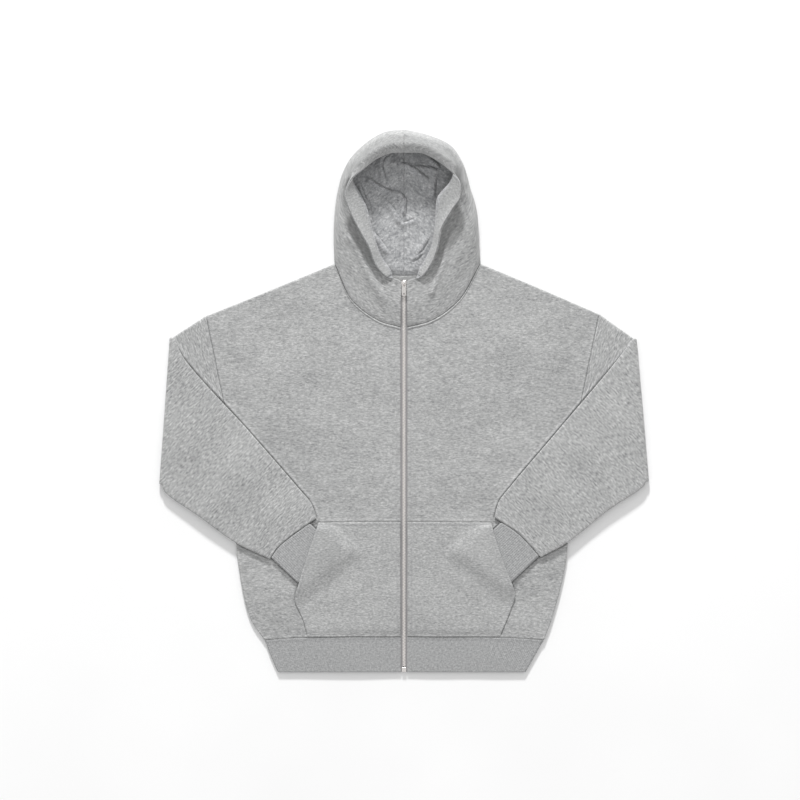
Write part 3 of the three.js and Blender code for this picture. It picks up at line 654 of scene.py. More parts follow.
def make_stage():
    """A plain pale floor; the soft light from the hood's end and the camera straight above come from make_lights and
    make_camera.
    """
    bpy.ops.mesh.primitive_plane_add(size=30, location=(0, 0, -0.0005))
    floor = bpy.context.object
    floor.name = "floor"
    material, nodes, links = new_material("pale_floor")
    shader = nodes["Principled BSDF"]
    coordinates = nodes.new("ShaderNodeTexCoord")
    grain = noise(nodes, links, coordinates.outputs["Object"], (3, 3, 3), 2, 0.5)
    stops = [(0.3, (0.93, 0.93, 0.93)), (0.7, (0.96, 0.96, 0.96))]
    links.new(ramp(nodes, links, grain, stops), shader.inputs["Base Color"])
    shader.inputs["Roughness"].default_value = 0.9
    floor.data.materials.append(material)


WORLD_LIGHT = 0.70
KEY = {"place": (-0.6, 7.4, 3.2), "size": 0.9, "power": 660}


def area_light(name, place, target, size, power):
    light = bpy.data.lights.new(name, "AREA")
    light.shape = "DISK"
    light.size = size
    light.energy = power
    lamp = bpy.data.objects.new(name, light)
    lamp.location = place
    lamp.rotation_euler = (Vector(target) - Vector(place)).to_track_quat("-Z", "Y").to_euler()
    bpy.context.scene.collection.objects.link(lamp)


def make_lights():
    world = bpy.data.worlds.new("studio")
    world.use_nodes = True
    world.node_tree.nodes["Background"].inputs["Color"].default_value = (1, 1, 1, 1)
    world.node_tree.nodes["Background"].inputs["Strength"].default_value = WORLD_LIGHT
    bpy.context.scene.world = world
    area_light("key", KEY["place"], (0, 0.05, 0), KEY["size"], KEY["power"])
    bpy.context.scene.view_settings.view_transform = "Standard"


def make_camera():
    camera = bpy.data.cameras.new("camera")
    camera.lens = LENS
    camera.sensor_width = 36
    distance = 800 * PIXEL * MM * LENS / camera.sensor_width
    camera.clip_end = 100
    holder = bpy.data.objects.new("camera", camera)
    holder.location = (PHOTO_CENTRE[0] * MM, PHOTO_CENTRE[1] * MM, distance)
    bpy.context.scene.collection.objects.link(holder)
    bpy.context.scene.camera = holder


make_camera()
make_lights()
make_stage()


# Front and back panels
PANEL_WIDTH = 285.0
PANEL_HEIGHT = 560.0


def rolled_lines(length, step):
    """Steps whose last lines follow a quarter turn of the rolled edge."""
    angles = np.linspace(0, math.pi / 2, 6)
    turn = ROLL * (1 - np.sin(angles[::-1]))
    lines = np.concatenate([turn, EDGE_LINES[EDGE_LINES > ROLL + 0.5]])
    return fine_steps(length, high=lines, step=step)


def roll_height(distance):
    """How far a rolled edge has left the flat at a distance from its outline."""
    share = np.clip(1 - distance / ROLL, 0, 1)
    return ROLL * (1 - np.sqrt(np.maximum(1 - share**2, 0)))


def half_panel(side, centre_x, neck, split, z, turn, step=GRID_STEP):
    """Half of a front or back panel as a grid of middle points, with its steps across and up."""
    sign = side["sign"]
    hem = Spline([(centre_x, HEM_CENTRE_Y), (153, HEM_CENTRE_Y - 1), (side["side"][0][0], HEM_SIDE_Y)], sign)
    centre = Spline([(centre_x, HEM_CENTRE_Y), neck[0]], sign)
    upper = joined(Spline(neck, sign), Spline(side["shoulder"], sign), split)
    outer = joined(Spline(side["side"], sign), Spline(side["armhole"], sign), PIT_SHARE)
    us = np.union1d(rolled_lines(PANEL_WIDTH, step), [split])
    vs = np.union1d(rolled_lines(PANEL_HEIGHT, step), [PIT_SHARE])
    grid = coons(hem.along, upper, centre.along, outer, us, vs)
    on_side = (vs < PIT_SHARE)[:, None]
    on_shoulder = (us >= split)[None, :]
    side_roll = np.where(on_side, roll_height((1 - us)[None, :] * PANEL_WIDTH), 0)
    top_roll = np.where(on_shoulder, roll_height((1 - vs)[:, None] * PANEL_HEIGHT), 0)
    reach = (ROLL - SEAM_GAP / 2) / ROLL
    grid[..., 2] = z + turn * reach * np.maximum(side_roll, top_roll)
    return grid, us, vs


# A sewn edge: place of its stitch line, height of the allowance beneath it, depth and width of the
# groove at the seam, and depth of the stitch line
SEAMS = {
    "neck": (4.2, 1.2, 1.8, 1.25, 0.6),
    "collar": (4.2, 0.2, 1.8, 1.25, 0.0),
    "zip": (6.6, 0.7, 0.5, 0.95, 0.5),
    "armhole": (4.2, 0.3, 0.45, 0.95, 0.1),
    "hem": (4.2, 0.3, 0.7, 0.95, 0.0),
    "band": (4.2, 0.45, -0.35, 0.95, 0.0),
    "pocket": (5.0, 0.35, 0.0, 0.95, 0.25),
    "plain": (4.2, 0.3, 1.4, 0.95, 0.0),
    "rim": (9.0, 0.5, 0.3, 0.95, 0.5),
}
STITCH_GROOVE = 0.6


def sewn(distance, kind):
    """Relief of the outer skin at a distance from a sewn edge."""
    place, height, groove, width, dip = SEAMS[kind]
    strip = height * smooth((place + 1.4 - distance) / 2.2) * smooth(distance / 2.0)
    line = dip * np.exp(-(((distance - place) / STITCH_GROOVE) ** 2))
    return strip - line - groove * np.exp(-((distance / width) ** 2))


def front_relief(grid, us, vs):
    """Low relief of a front panel's outer face: seam allowances and stitch lines."""
    on_neck = smooth((FRONT_SPLIT + 0.01 - us) / 0.02)[None, :]
    on_armhole = smooth((vs - PIT_SHARE + 0.01) / 0.02)[:, None]
    total = sewn(edge_distance(grid, 1, False), "zip")
    total = total + sewn(edge_distance(grid, 0, True), "neck") * on_neck
    total = total + sewn(edge_distance(grid, 1, True), "armhole") * on_armhole
    return total + sewn(edge_distance(grid, 0, False), "hem")


def front_panel(name):
    side = SIDES[name]
    grid, us, vs = half_panel(side, ZIP_SPACE, side["neck"], FRONT_SPLIT, FRONT_Z, -1)
    relief_out = front_relief(grid, us, vs)
    knit = grid.copy()
    grid = raised(grid)
    piece = cloth_piece(f"front_{name}_cloth", grid, [MARL], knit=knit, low=MIDDLE_Z + SEAM_GAP / 2,
                        outside=side["sign"], lift=relief_out)
    refine(piece, lambda x, y: np.minimum(abs(arm_distance(side, x, y) - 2), abs(pocket_distance(side, x, y) - 1)))
    press(piece, side)
    return piece, grid, us


# Where a layer rests on the front, the front is pressed down and swells up beside the layer's edge
def outline_distance(points, x, y):
    """Signed distance to a closed outline, negative inside."""
    points = np.asarray(points)[:, :2]
    nearest = np.full(x.shape, np.inf)
    inside = np.zeros(x.shape, bool)
    for (x1, y1), (x2, y2) in zip(points, np.roll(points, -1, axis=0)):
        dx, dy = x2 - x1, y2 - y1
        span = max(dx * dx + dy * dy, 1e-12)
        t = np.clip(((x - x1) * dx + (y - y1) * dy) / span, 0, 1)
        nearest = np.minimum(nearest, np.hypot(x - x1 - t * dx, y - y1 - t * dy))
        crosses = (y1 > y) != (y2 > y)
        with np.errstate(divide="ignore", invalid="ignore"):
            inside ^= crosses & (x < dx * (y - y1) / (dy if dy else 1e-12) + x1)
    return np.where(inside, -nearest, nearest)


OUTLINE_STEPS = np.linspace(0, 1, 24)


def arm_distance(side, x, y):
    """Signed distance to the forearm and the cuff where they lie on the front."""
    sign = side["sign"]
    along = lambda key: Spline(side[key], sign).along(OUTLINE_STEPS)
    forearm = np.concatenate([along("forearm_upper"), along("cuff_seam"), along("forearm_lower")[::-1]])
    forearm = np.concatenate([forearm, along("fold_side")[::-1]])
    inner_start, outer_start, inner_end, outer_end = cuff_corners(side)
    wrist = np.stack([inner_start, outer_start, outer_end, inner_end])
    return np.minimum(outline_distance(forearm, x, y), outline_distance(wrist, x, y)) - CLOTH / 2


def pocket_distance(side, x, y):
    """Signed distance to the pocket's outline."""
    sign = side["sign"]
    outer = Spline(side["pocket_side"], sign).along(OUTLINE_STEPS)
    inner = np.array([(sign * ZIP_SPACE, POCKET_TOP_Y, 0.0), (sign * ZIP_SPACE, side["pocket_side"][0][1], 0.0)])
    return outline_distance(np.concatenate([outer, inner]), x, y)


REFINE = {"reach": 7.0, "cuts": 3}
PRESS = {"arm": (1.0, 1.5), "pocket": (0.5, 0.5)}
SWELL_PLACE = 3.0
SWELL_WIDTH = 1.9


def refine(piece, distance, top=1e9):
    """Divides the upper faces near a line, up to the height top, into smaller ones."""
    work = bmesh.new()
    work.from_mesh(piece.data)
    centres = np.array([face.calc_center_median()[:] for face in work.faces]) / MM
    away = distance(centres[:, 0], centres[:, 1])
    away[centres[:, 2] > top] = np.inf
    near = [face for face, d in zip(work.faces, away) if d < REFINE["reach"] and face.normal.z > 0.5]
    edges = list({edge for face in near for edge in face.edges})
    bmesh.ops.subdivide_edges(work, edges=edges, cuts=REFINE["cuts"], use_grid_fill=True)
    work.to_mesh(piece.data)
    work.free()


def beside(distance, depth, swell):
    """Height beside a layer's edge: pressed under it and swollen next to it."""
    ridge = swell * np.exp(-(((distance - SWELL_PLACE) / SWELL_WIDTH) ** 2))
    return ridge - depth * smooth((0.6 - distance) / 1.2)


def press(piece, side, top=1e9):
    """Presses the upper skin below the height top under the forearm, cuff and pocket."""
    work = bmesh.new()
    work.from_mesh(piece.data)
    work.normal_update()
    skin = [v for v in work.verts if v.normal.z > 0.3 and v.co.z < top * MM]
    skin = [v for v in skin if all(face.normal.z > 0.1 for face in v.link_faces)]
    place = np.array([v.co[:] for v in skin]) / MM
    x, y = place[:, 0], place[:, 1]
    height = beside(arm_distance(side, x, y), *PRESS["arm"])
    height += np.where(height > -0.2, beside(pocket_distance(side, x, y), *PRESS["pocket"]), 0)
    for v, rise in zip(skin, height):
        v.co.z += rise * MM
    work.to_mesh(piece.data)
    work.free()


def back_neck(side):
    x, y = side["shoulder"][0]
    return [(0, NECK_BACK_Y), (x * 0.5, NECK_BACK_Y + 3), (x, y)]


def back_panel():
    halves = [
        half_panel(SIDES[name], 0.0, back_neck(SIDES[name]), BACK_SPLIT, BACK_Z, 1, BACK_STEP)[0]
        for name in ("right", "left")
    ]
    grid = np.concatenate([halves[0][:, ::-1], halves[1][:, 1:]], axis=1)
    knit = grid.copy()
    return cloth_piece("back_cloth", grid, [MARL], knit=knit, high=MIDDLE_Z - SEAM_GAP / 2, outside=-1)


# Stitches
STITCH = {"pitch": 3.2, "half": 1.15, "radius": 0.32, "height": 0.7, "sides": 6}
STITCH_SECTIONS = np.array([(-1.0, 0.25), (-0.6, 0.85), (0.0, 1.0), (0.6, 0.85), (1.0, 0.25)])


def unit(vectors):
    return vectors / np.maximum(np.linalg.norm(vectors, axis=-1, keepdims=True), 1e-9)


def skin_line(grid, axis, last, place, outside, cloth=CLOTH):
    """The line on a piece's outer skin at a distance from one of its edges."""
    skin = grid + grid_normals(grid, False) * outside * cloth / 2
    away = edge_distance(grid, axis, last)
    if axis == 0:
        skin, away = skin.transpose(1, 0, 2), away.T
    if last:
        skin, away = skin[:, ::-1], away[:, ::-1]
    return np.array([[np.interp(place, run, row[:, k]) for k in range(3)] for run, row in zip(away, skin)])


def seated(piece, line):
    """The line's points moved onto the piece's skin, and the skin's normals there."""
    work = bmesh.new()
    work.from_mesh(piece.data)
    tree = BVHTree.FromBMesh(work)
    hits = [tree.find_nearest(Vector(point) * MM) for point in line]
    work.free()
    return np.array([hit[0] for hit in hits]) / MM, np.array([hit[1] for hit in hits])


def stitch_faces(count):
    """Faces of a row of stitches, each a short closed tube."""
    sides, rings = STITCH["sides"], len(STITCH_SECTIONS)
    faces = [tuple(range(sides)), tuple(range((rings - 1) * sides, rings * sides))]
    for ring in range(rings - 1):
        for k in range(sides):
            a, b = ring * sides + k, ring * sides + (k + 1) % sides
            faces.append((a, b, b + sides, a + sides))
    return [tuple(stitch * rings * sides + k for k in face) for stitch in range(count) for face in faces]


def stitch_row(name, piece, line):
    """A row of short stitches along a line on a piece's skin."""
    line, normals = seated(piece, line)
    run = np.concatenate([[0], np.cumsum(np.linalg.norm(np.diff(line, axis=0), axis=1))])
    count = int(run[-1] / STITCH["pitch"])
    at = lambda rows, place: np.stack([np.interp(place, run, rows[:, k]) for k in range(3)], axis=1)
    centres = (np.arange(count) + 0.5) * run[-1] / count
    ahead = unit(at(line, centres + STITCH["half"]) - at(line, centres - STITCH["half"]))
    up = unit(at(normals, centres))
    across = unit(np.cross(up, ahead))
    angles = math.tau * np.arange(STITCH["sides"]) / STITCH["sides"]
    round_it = across[:, None] * np.cos(angles)[:, None] + up[:, None] * np.sin(angles)[:, None] * STITCH["height"]
    spread, width = STITCH_SECTIONS.T
    points = at(line, centres)[:, None, None] + ahead[:, None, None] * (spread * STITCH["half"])[:, None, None]
    points = points + round_it[:, None] * (width * STITCH["radius"])[:, None, None]
    points = points.reshape(-1, 3)
    row = build_mesh(name, points, stitch_faces(count), [THREAD], knit=points)
    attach(row, BODY)
    return row


# Rib waistband
RIB_PITCH = 3.4
RIB_DEPTH = 0.55
RIB_FINE = 4


def rib_profile(run, pitch=RIB_PITCH):
    """Height of the ribs at a distance round a band."""
    wave = 0.5 + 0.5 * np.cos(2 * math.pi * run / pitch)
    return RIB_DEPTH * (wave**0.6 - 1)


def rib_path(side, share):
    """Half of the waistband at a share of its height, from the zip round to the middle of the back."""
    out_x = np.interp(share, np.linspace(0, 1, 50), Spline(side["rib"]).along(np.linspace(0, 1, 50))[:, 0])
    front = np.arange(ZIP_SPACE, out_x - ROLL, RIB_PITCH / RIB_FINE)
    turn = np.linspace(0, math.pi, 8)
    xs = np.concatenate([front, out_x - ROLL + ROLL * np.sin(turn), front[::-1], [0.0]])
    zs = np.concatenate([
        np.full(len(front), FRONT_Z), MIDDLE_Z + ROLL * np.cos(turn), np.full(len(front) + 1, BACK_Z),
    ])
    return xs, zs


def waistband():
    """One strip from the zip round the back to the zip."""
    shares = fine_steps(HEM_CENTRE_Y - HEM_BOTTOM_Y, BAND_LINES, BAND_LINES, 6)
    columns = {name: len(rib_path(SIDES[name], 0.0)[0]) for name in SIDES}
    rows = []
    for share in shares:
        halves = []
        for name in ("right", "left"):
            side = SIDES[name]
            xs, zs = rib_path(side, share)
            target = np.linspace(0, 1, columns[name])
            source = np.linspace(0, 1, len(xs))
            xs, zs = np.interp(target, source, xs), np.interp(target, source, zs)
            fall = (HEM_SIDE_Y - HEM_CENTRE_Y) * (xs / side["rib"][0][0]) ** HEM_BEND * (1 - share)
            ys = HEM_CENTRE_Y - SEAM_GAP + fall + (HEM_BOTTOM_Y - HEM_CENTRE_Y) * share
            halves.append(np.stack([side["sign"] * xs, ys, zs], axis=1))
        rows.append(np.concatenate([halves[0], halves[1][::-1][1:]]))
    grid = np.stack(rows)
    run = np.broadcast_to(edge_distance(grid[:1], 1, False), grid.shape[:2])
    knit = np.stack([run, grid[..., 1], np.zeros_like(run)], axis=2)
    grid = raised(grid, 0.5)
    lift = rib_profile(run) + sewn(edge_distance(grid, 0, False), "band")
    return cloth_piece("waistband_cloth", grid, [RIB], knit=knit, cloth=CLOTH, lift=lift)


# Sleeves and cuffs
RING_STEP = 4.5
UPPER_ARM_AXIS = (0.93, -0.37)
UPPER_ARM_TOP = 7.6


def ring_shape(width, step=RING_STEP):
    """Shares across and heights of a flattened tube's section."""
    reach = ROLL / width
    flats = np.linspace(reach, 1 - reach, int(width / step))
    angles = np.linspace(0, math.pi, 9)[1:-1]
    far = [1 - reach + reach * np.sin(angles), ROLL * np.cos(angles)]
    near = [reach - reach * np.sin(angles), -ROLL * np.cos(angles)]
    shares = np.concatenate([flats, far[0], flats[::-1], near[0]])
    heights = np.concatenate([np.full(len(flats), ROLL), far[1], np.full(len(flats), -ROLL), near[1]])
    return shares, heights


def tube_grid(middles, normals, shape):
    """Rows of a flattened tube from the middle line and upward normal of each station."""
    shares, heights = shape
    return np.stack([middle(shares) + np.outer(heights, normal) for middle, normal in zip(middles, normals)])


def flat_stretch(start, end, upper, lower, z, v):
    def middle(us):
        line = coons(start, end, upper, lower, us, [v])[0]
        line[:, 2] = z
        return line

    return middle


def sleeve_parts(side):
    """Edge curves of the two flat stretches of a sleeve and the radius of its elbow fold."""
    sign = side["sign"]
    radius = (FOREARM_Z - MIDDLE_Z) / 2
    inset = radius + ROLL + CLOTH / 2
    inward = lambda p: (p[0] - inset, p[1])
    fold = Spline([inward(p) for p in side["fold_side"]], sign)
    armhole = Spline([(x + SEAM_GAP, y) for x, y in side["armhole"][::-1]], sign)
    top, pit = side["armhole"][-1], side["armhole"][0]
    edges = {
        "arm_upper": Spline([(top[0] + SEAM_GAP, top[1]), inward(side["fold_top"])], sign),
        "arm_lower": Spline([(pit[0] + SEAM_GAP, pit[1]), inward(side["fold_bottom"])], sign),
        "fore_upper": Spline([inward(side["forearm_upper"][0]), *side["forearm_upper"][1:]], sign),
        "fore_lower": Spline([inward(side["forearm_lower"][0]), *side["forearm_lower"][1:]], sign),
    }
    return fold, armhole, Spline(side["cuff_seam"], sign), edges, radius


def sleeve_grid(side):
    fold, armhole, cuff_seam, edges, radius = sleeve_parts(side)
    up = np.array([0.0, 0.0, 1.0])
    out = np.array([side["sign"], 0.0, 0.0])
    shape = ring_shape(252)
    upper = [edges["arm_upper"].along, edges["arm_lower"].along]
    lower = [edges["fore_upper"].along, edges["fore_lower"].along]
    middles, normals = [], []
    for v in fine_steps(90, step=6)[:-3]:
        middles.append(flat_stretch(armhole.along, fold.along, *upper, MIDDLE_Z, v))
        normals.append(up)
    for angle in np.linspace(0, math.pi, 13):
        shift = out * radius * math.sin(angle) + up * (MIDDLE_Z + radius * (1 - math.cos(angle)))
        middles.append(lambda us, shift=shift: fold.along(us) + shift)
        normals.append(up * math.cos(angle) - out * math.sin(angle))
    for v in fine_steps(260, step=GRID_STEP)[3:]:
        middles.append(flat_stretch(fold.along, cuff_seam.along, *lower, FOREARM_Z, v))
        normals.append(-up)
    return tube_grid(middles, normals, shape)


def plane_knit(grid, axis, shift):
    """Cloth coordinates seen from above: across an axis and along it."""
    away = np.array([-axis[1], axis[0]])
    across = grid[..., :2] @ away
    along = grid[..., :2] @ axis
    return np.stack([across + shift, along, np.zeros_like(along)], axis=2)


def sleeve_knit(grid, side):
    """The knit follows the upper arm, then turns at the fold and follows the forearm."""
    sign = side["sign"]
    arm = np.array([sign * UPPER_ARM_AXIS[0], UPPER_ARM_AXIS[1]])
    fold = (np.array(side["fold_top"]) + np.array(side["fold_bottom"])) / 2
    wrist = (np.array(side["cuff_seam"][0]) + np.array(side["cuff_seam"][-1])) / 2
    forearm = (wrist - fold) / np.linalg.norm(wrist - fold) * np.array([sign, 1.0])
    middle = (FOREARM_Z + MIDDLE_Z) / 2
    on_forearm = (grid[..., 2] > middle)[..., None]
    shift = 900 * sign
    return np.where(on_forearm, plane_knit(grid, forearm, shift), plane_knit(grid, arm, shift))


def tube_knit(grid, shift):
    """Cloth coordinates of a tube: round it and along it."""
    around = np.linalg.norm(np.diff(grid, axis=1), axis=2)
    around = np.concatenate([np.zeros((len(grid), 1)), np.cumsum(around, axis=1)], axis=1)
    along = edge_distance(grid, 0, False)
    return np.stack([around + shift, along, np.zeros_like(along)], axis=2)


def sleeve(name):
    side = SIDES[name]
    grid = sleeve_grid(side)
    knit = sleeve_knit(grid, side)
    lift = sewn(edge_distance(grid, 0, False), "armhole") + sewn(edge_distance(grid, 0, True), "plain")
    piece = cloth_piece(f"sleeve_{name}_cloth", raised(grid), [SLEEVE_MARL], closed=True, knit=knit, lift=lift)
    refine(piece, lambda x, y: abs(arm_distance(side, x, y) - 2), UPPER_ARM_TOP)
    press(piece, side, UPPER_ARM_TOP)
    return piece


def cuff_corners(side):
    seam = Spline(side["cuff_seam"], side["sign"])
    start = seam.along(CUFF_SHARES)
    end = np.array([(side["sign"] * x, y, 0.0) for x, y in side["cuff_end"]])
    return start[0], start[1], end[0], end[1]


def cuff(name):
    side = SIDES[name]
    inner_start, outer_start, inner_end, outer_end = cuff_corners(side)
    seam = Spline(side["cuff_seam"], side["sign"])
    away = inner_end - inner_start
    away = away / np.linalg.norm(away) * SEAM_GAP * 2
    start = lambda t: seam.along(CUFF_SHARES[0] + np.atleast_1d(t) * (CUFF_SHARES[1] - CUFF_SHARES[0])) + away
    line = lambda a, b: (lambda t: a + np.atleast_1d(t)[:, None] * (b - a))
    end = line(inner_end, outer_end)
    inner = line(inner_start + away, inner_end)
    outer = line(outer_start + away, outer_end)
    shape = ring_shape(92, RIB_PITCH / RIB_FINE)
    stations = fine_steps(62, BAND_LINES, BAND_LINES, 5)
    middles = [flat_stretch(start, end, inner, outer, CUFF_Z, v) for v in stations]
    grid = tube_grid(middles, [np.array([0.0, 0.0, 1.0])] * len(middles), shape)
    run = tube_knit(grid, 0.0)
    around = np.broadcast_to(run[:1, :, 0], grid.shape[:2])
    lift = rib_profile(around) + sewn(edge_distance(grid, 0, False), "plain")
    return cloth_piece(f"cuff_{name}_cloth", raised(grid), [RIB], closed=True, knit=run, lift=lift)


# Kangaroo pocket
POCKET_LIFT = {"height": 6.2, "before": 38.0, "full": -4.0, "sewn": 12.0, "round": 6.0}
POCKET_TOP_Y = -207.0
POCKET_HEM = {"thin": 1.55, "reach": 13.0}


def inside_cuff(side, x, y):
    """Signed distance to the cuff's outline with rounded corners, positive inside."""
    inner_start, outer_start, inner_end, outer_end = cuff_corners(side)
    outline = [inner_start, outer_start, outer_end, inner_end]
    total = np.zeros(x.shape)
    for k, corner in enumerate(outline):
        edge = outline[(k + 1) % 4] - corner
        cross = edge[0] * (y - corner[1]) - edge[1] * (x - corner[0])
        total += np.exp(side["sign"] * cross / math.hypot(edge[0], edge[1]) / POCKET_LIFT["round"])
    return -POCKET_LIFT["round"] * np.log(total)


def pocket(name):
    side = SIDES[name]
    sign = side["sign"]
    bottom_x, bottom_y = side["pocket_side"][0]
    top_x = side["pocket_side"][-1][0]
    inner_x = ZIP_SPACE + 0.5
    bottom = Spline([(inner_x, bottom_y), (bottom_x, bottom_y)], sign)
    top = Spline([(inner_x, POCKET_TOP_Y), (top_x, POCKET_TOP_Y - 1)], sign)
    inner = Spline([(inner_x, bottom_y), (inner_x, POCKET_TOP_Y)], sign)
    outer = Spline(side["pocket_side"], sign)
    us, vs = fine_steps(165, step=3.5), fine_steps(200, step=3.5)
    grid = coons(bottom.along, top.along, inner.along, outer.along, us, vs)
    inside = inside_cuff(side, grid[..., 0], grid[..., 1]) + POCKET_LIFT["before"]
    share = smooth(inside / (POCKET_LIFT["before"] + POCKET_LIFT["full"]))
    held = smooth((POCKET_TOP_Y - grid[..., 1]) / POCKET_LIFT["sewn"])
    grid[..., 2] = POCKET_Z + POCKET_LIFT["height"] * share * held
    knit = grid + np.array([40.0, 15.0, 0.0])
    grid = raised(grid)
    lift = sewn(edge_distance(grid, 0, True), "pocket") + sewn(edge_distance(grid, 1, True), "pocket")
    hem = edge_distance(grid, 0, False)
    lift = lift + sewn(edge_distance(grid, 1, False), "zip") - POCKET_HEM["thin"] * smooth(1 - hem / POCKET_HEM["reach"])
    piece = cloth_piece(f"pocket_{name}_cloth", grid, [MARL], knit=knit, outside=sign, lift=lift)
    return piece, grid


# Hood
HOOD_PLACES = 170
HOOD_FINE = 17
HOOD_FLOOR_LIFT = 2.1


def hood_section(name, place):
    """The hood's table at a place from the neck seam, 0, to the crown, 1."""
    plan = HOOD_PLANS[name]
    heights = []
    for k in range(len(HOOD_HEIGHTS[0])):
        heights.append(Spline([(i, row[k]) for i, row in enumerate(HOOD_HEIGHTS)]).at(place)[0][1])
    out, root, edge = (Spline(plan[key]).at(place)[0] for key in ("out", "root", "edge"))
    return heights, out, root, edge


def hood_curve(name, place):
    """One section of the hood from its centre seam round the outline to the free edge."""
    (seam_y, roll, crest_z, dip, root_z, edge_z), out, root, edge = hood_section(name, place)
    seam = np.array([SEAM_GAP / 2, seam_y, BACK_Z])
    inward = root - out
    inward /= np.linalg.norm(inward)
    up = lambda point, z: np.array([point[0], point[1], z])
    crest = out + inward * roll * 0.9
    controls = [
        seam,
        up(out + inward * roll, BACK_Z),
        up(out, (BACK_Z + crest_z) / 2),
        up(crest, crest_z),
        up((crest + root) / 2, dip),
        up(root, root_z),
        up(edge, edge_z),
    ]
    return Spline(controls)


def hood_grid(name, steps, places):
    rows = []
    for place in places:
        row = hood_curve(name, place).at(np.asarray(steps) / HOOD_CONTROLS)
        row[:, 2] = np.maximum(row[:, 2], BACK_Z)
        rows.append(row)
    return np.stack(rows)


def neck_row(side, steps):
    """The hood's first section, along the necklines of the back and front panels."""
    back, front = Spline(back_neck(side)), Spline(side["neck"])
    steps = np.asarray(steps)
    on_back = steps <= 2
    row = np.where(on_back[:, None], back.along(np.clip(steps / 2, 0, 1)), front.along(np.clip(1 - (steps - 2) / 4, 0, 1)))
    row[:, 2] = BACK_Z + (FRONT_Z - BACK_Z) * smooth((steps - 1.8) / 0.4)
    run = np.gradient(row, axis=0)
    run[:, 2] = 0
    run /= np.maximum(np.linalg.norm(run, axis=1, keepdims=True), 1e-9)
    away = np.stack([-np.abs(run[:, 1]), np.abs(run[:, 0]), np.zeros(len(row))], axis=1)
    row = row + away * NECK_GAP
    row[:, 0] = np.maximum(row[:, 0], SEAM_GAP / 2)
    return row


# Creases as lines of points from one end to the other, with the half width and height of the ridge
# and the depth of the groove beside it
HOOD_CREASES = [
    ([(-61, 387), (-48, 376), (-36, 369), (-21, 362), (-7, 361), (4, 349), (3, 320)], 4.0, 2.6, 2.2),
    ([(-21, 427), (-31, 421), (-36, 415), (-37, 405), (-33, 392), (-31, 380)], 5.0, 3.0, 2.6),
    ([(-4, 412), (5, 410), (16, 404), (23, 400), (32, 391), (44, 384)], 4.5, 2.8, 2.2),
    ([(20, 407), (34, 405), (46, 404), (60, 399)], 5.0, 2.6, 2.4),
    ([(-12, 416), (-12, 405)], 4.0, 2.0, 1.6),
    ([(46, 420), (57, 412), (64, 401)], 4.0, 2.2, 2.0),
    ([(-75, 372), (-66, 352), (-62, 336)], 4.0, 2.2, 2.0),
    ([(-62, 350), (-57, 330), (-54, 308)], 4.0, 1.8, 1.6),
    ([(-33, 352), (-24, 342), (-9, 320), (-2, 309)], 4.5, 1.5, 1.2),
    ([(-14, 318), (-2, 308), (8, 310), (20, 316)], 4.5, 0.9, 1.0),
    ([(34, 254), (24, 245), (14, 240)], 5.0, 1.2, 0.8), ([(46, 283), (34, 262), (22, 250)], 6.0, 1.4, 0.9),
    ([(-52, 293), (-36, 273), (-24, 255)], 6.0, 1.6, 1.0), ([(58, 388), (55, 372), (54, 350)], 5.0, 2.0, 1.6),
    ([(10, 380), (22, 362), (38, 352)], 8.0, 1.4, 0.4), ([(-28, 384), (-22, 400), (-26, 414)], 7.0, 1.6, 0.4),
]
OUTER_CREASES = [
    ([(-97, 291), (-87, 281), (-75, 267), (-66, 243), (-58, 224), (-43, 199), (-24, 166)], 7.0, 4.6, 0.0),
    ([(84, 300), (77, 289), (68, 267), (64, 243), (56, 219), (46, 195), (39, 183)], -6.0, 4.0, 1.6),
    ([(-104, 204), (-90, 190), (-76, 176)], 13.0, -1.6, 0.0), ([(118, 214), (112, 200), (98, 188)], 11.0, -1.2, 0.0),
    ([(-112, 262), (-96, 246), (-84, 220)], 9.0, 1.2, 0.0), ([(108, 268), (100, 246), (88, 226)], 9.0, 1.0, 0.0),
]
CREASE_GROOVE = 1.5


def crease_line(x, y, points, width, height, groove):
    """A ridge beside a line of points and a narrow groove along it, both fading at its ends."""
    points = np.array(points, float)
    runs = np.linalg.norm(np.diff(points, axis=0), axis=1)
    starts = np.concatenate([[0], np.cumsum(runs)])
    nearest, signed, place = (np.full(x.shape, np.inf) for _ in range(3))
    for start, run, (x1, y1), (x2, y2) in zip(starts, runs, points, points[1:]):
        dx, dy = (x2 - x1) / run, (y2 - y1) / run
        t = np.clip((x - x1) * dx + (y - y1) * dy, 0, run)
        away = np.hypot(x - x1 - t * dx, y - y1 - t * dy)
        closer = away < nearest
        across = (x - x1) * dy - (y - y1) * dx
        signed = np.where(closer, np.sign(across) * away, signed)
        place = np.where(closer, start + t, place)
        nearest = np.where(closer, away, nearest)
    ends = smooth(np.minimum(place, starts[-1] - place) / abs(2 * width) + 0.25)
    ridge = height * np.exp(-(((signed - 0.8 * width) / width) ** 2))
    return (ridge - groove * np.exp(-((signed / CREASE_GROOVE) ** 2))) * ends


def hood_relief(grid, steps, sign):
    """Height of the hood's creases: on the floor inside it and on the collar."""
    x, y = grid[..., 0] * sign, grid[..., 1]
    inner = sum(crease_line(x, y, *row) for row in HOOD_CREASES)
    outer = sum(crease_line(x, y, *row) for row in OUTER_CREASES)
    on_floor = smooth((0.95 - steps) / 0.25)[None, :]
    on_collar = (smooth((steps - 2.6) / 0.5) * smooth((5.4 - steps) / 0.5))[None, :]
    rows = smooth(np.arange(len(grid)) / 6)[:, None]
    on_floor = on_floor * HOOD_FLOOR_LIFT
    return (np.maximum(inner + 0.9, 0) * on_floor + outer * on_collar) * rows


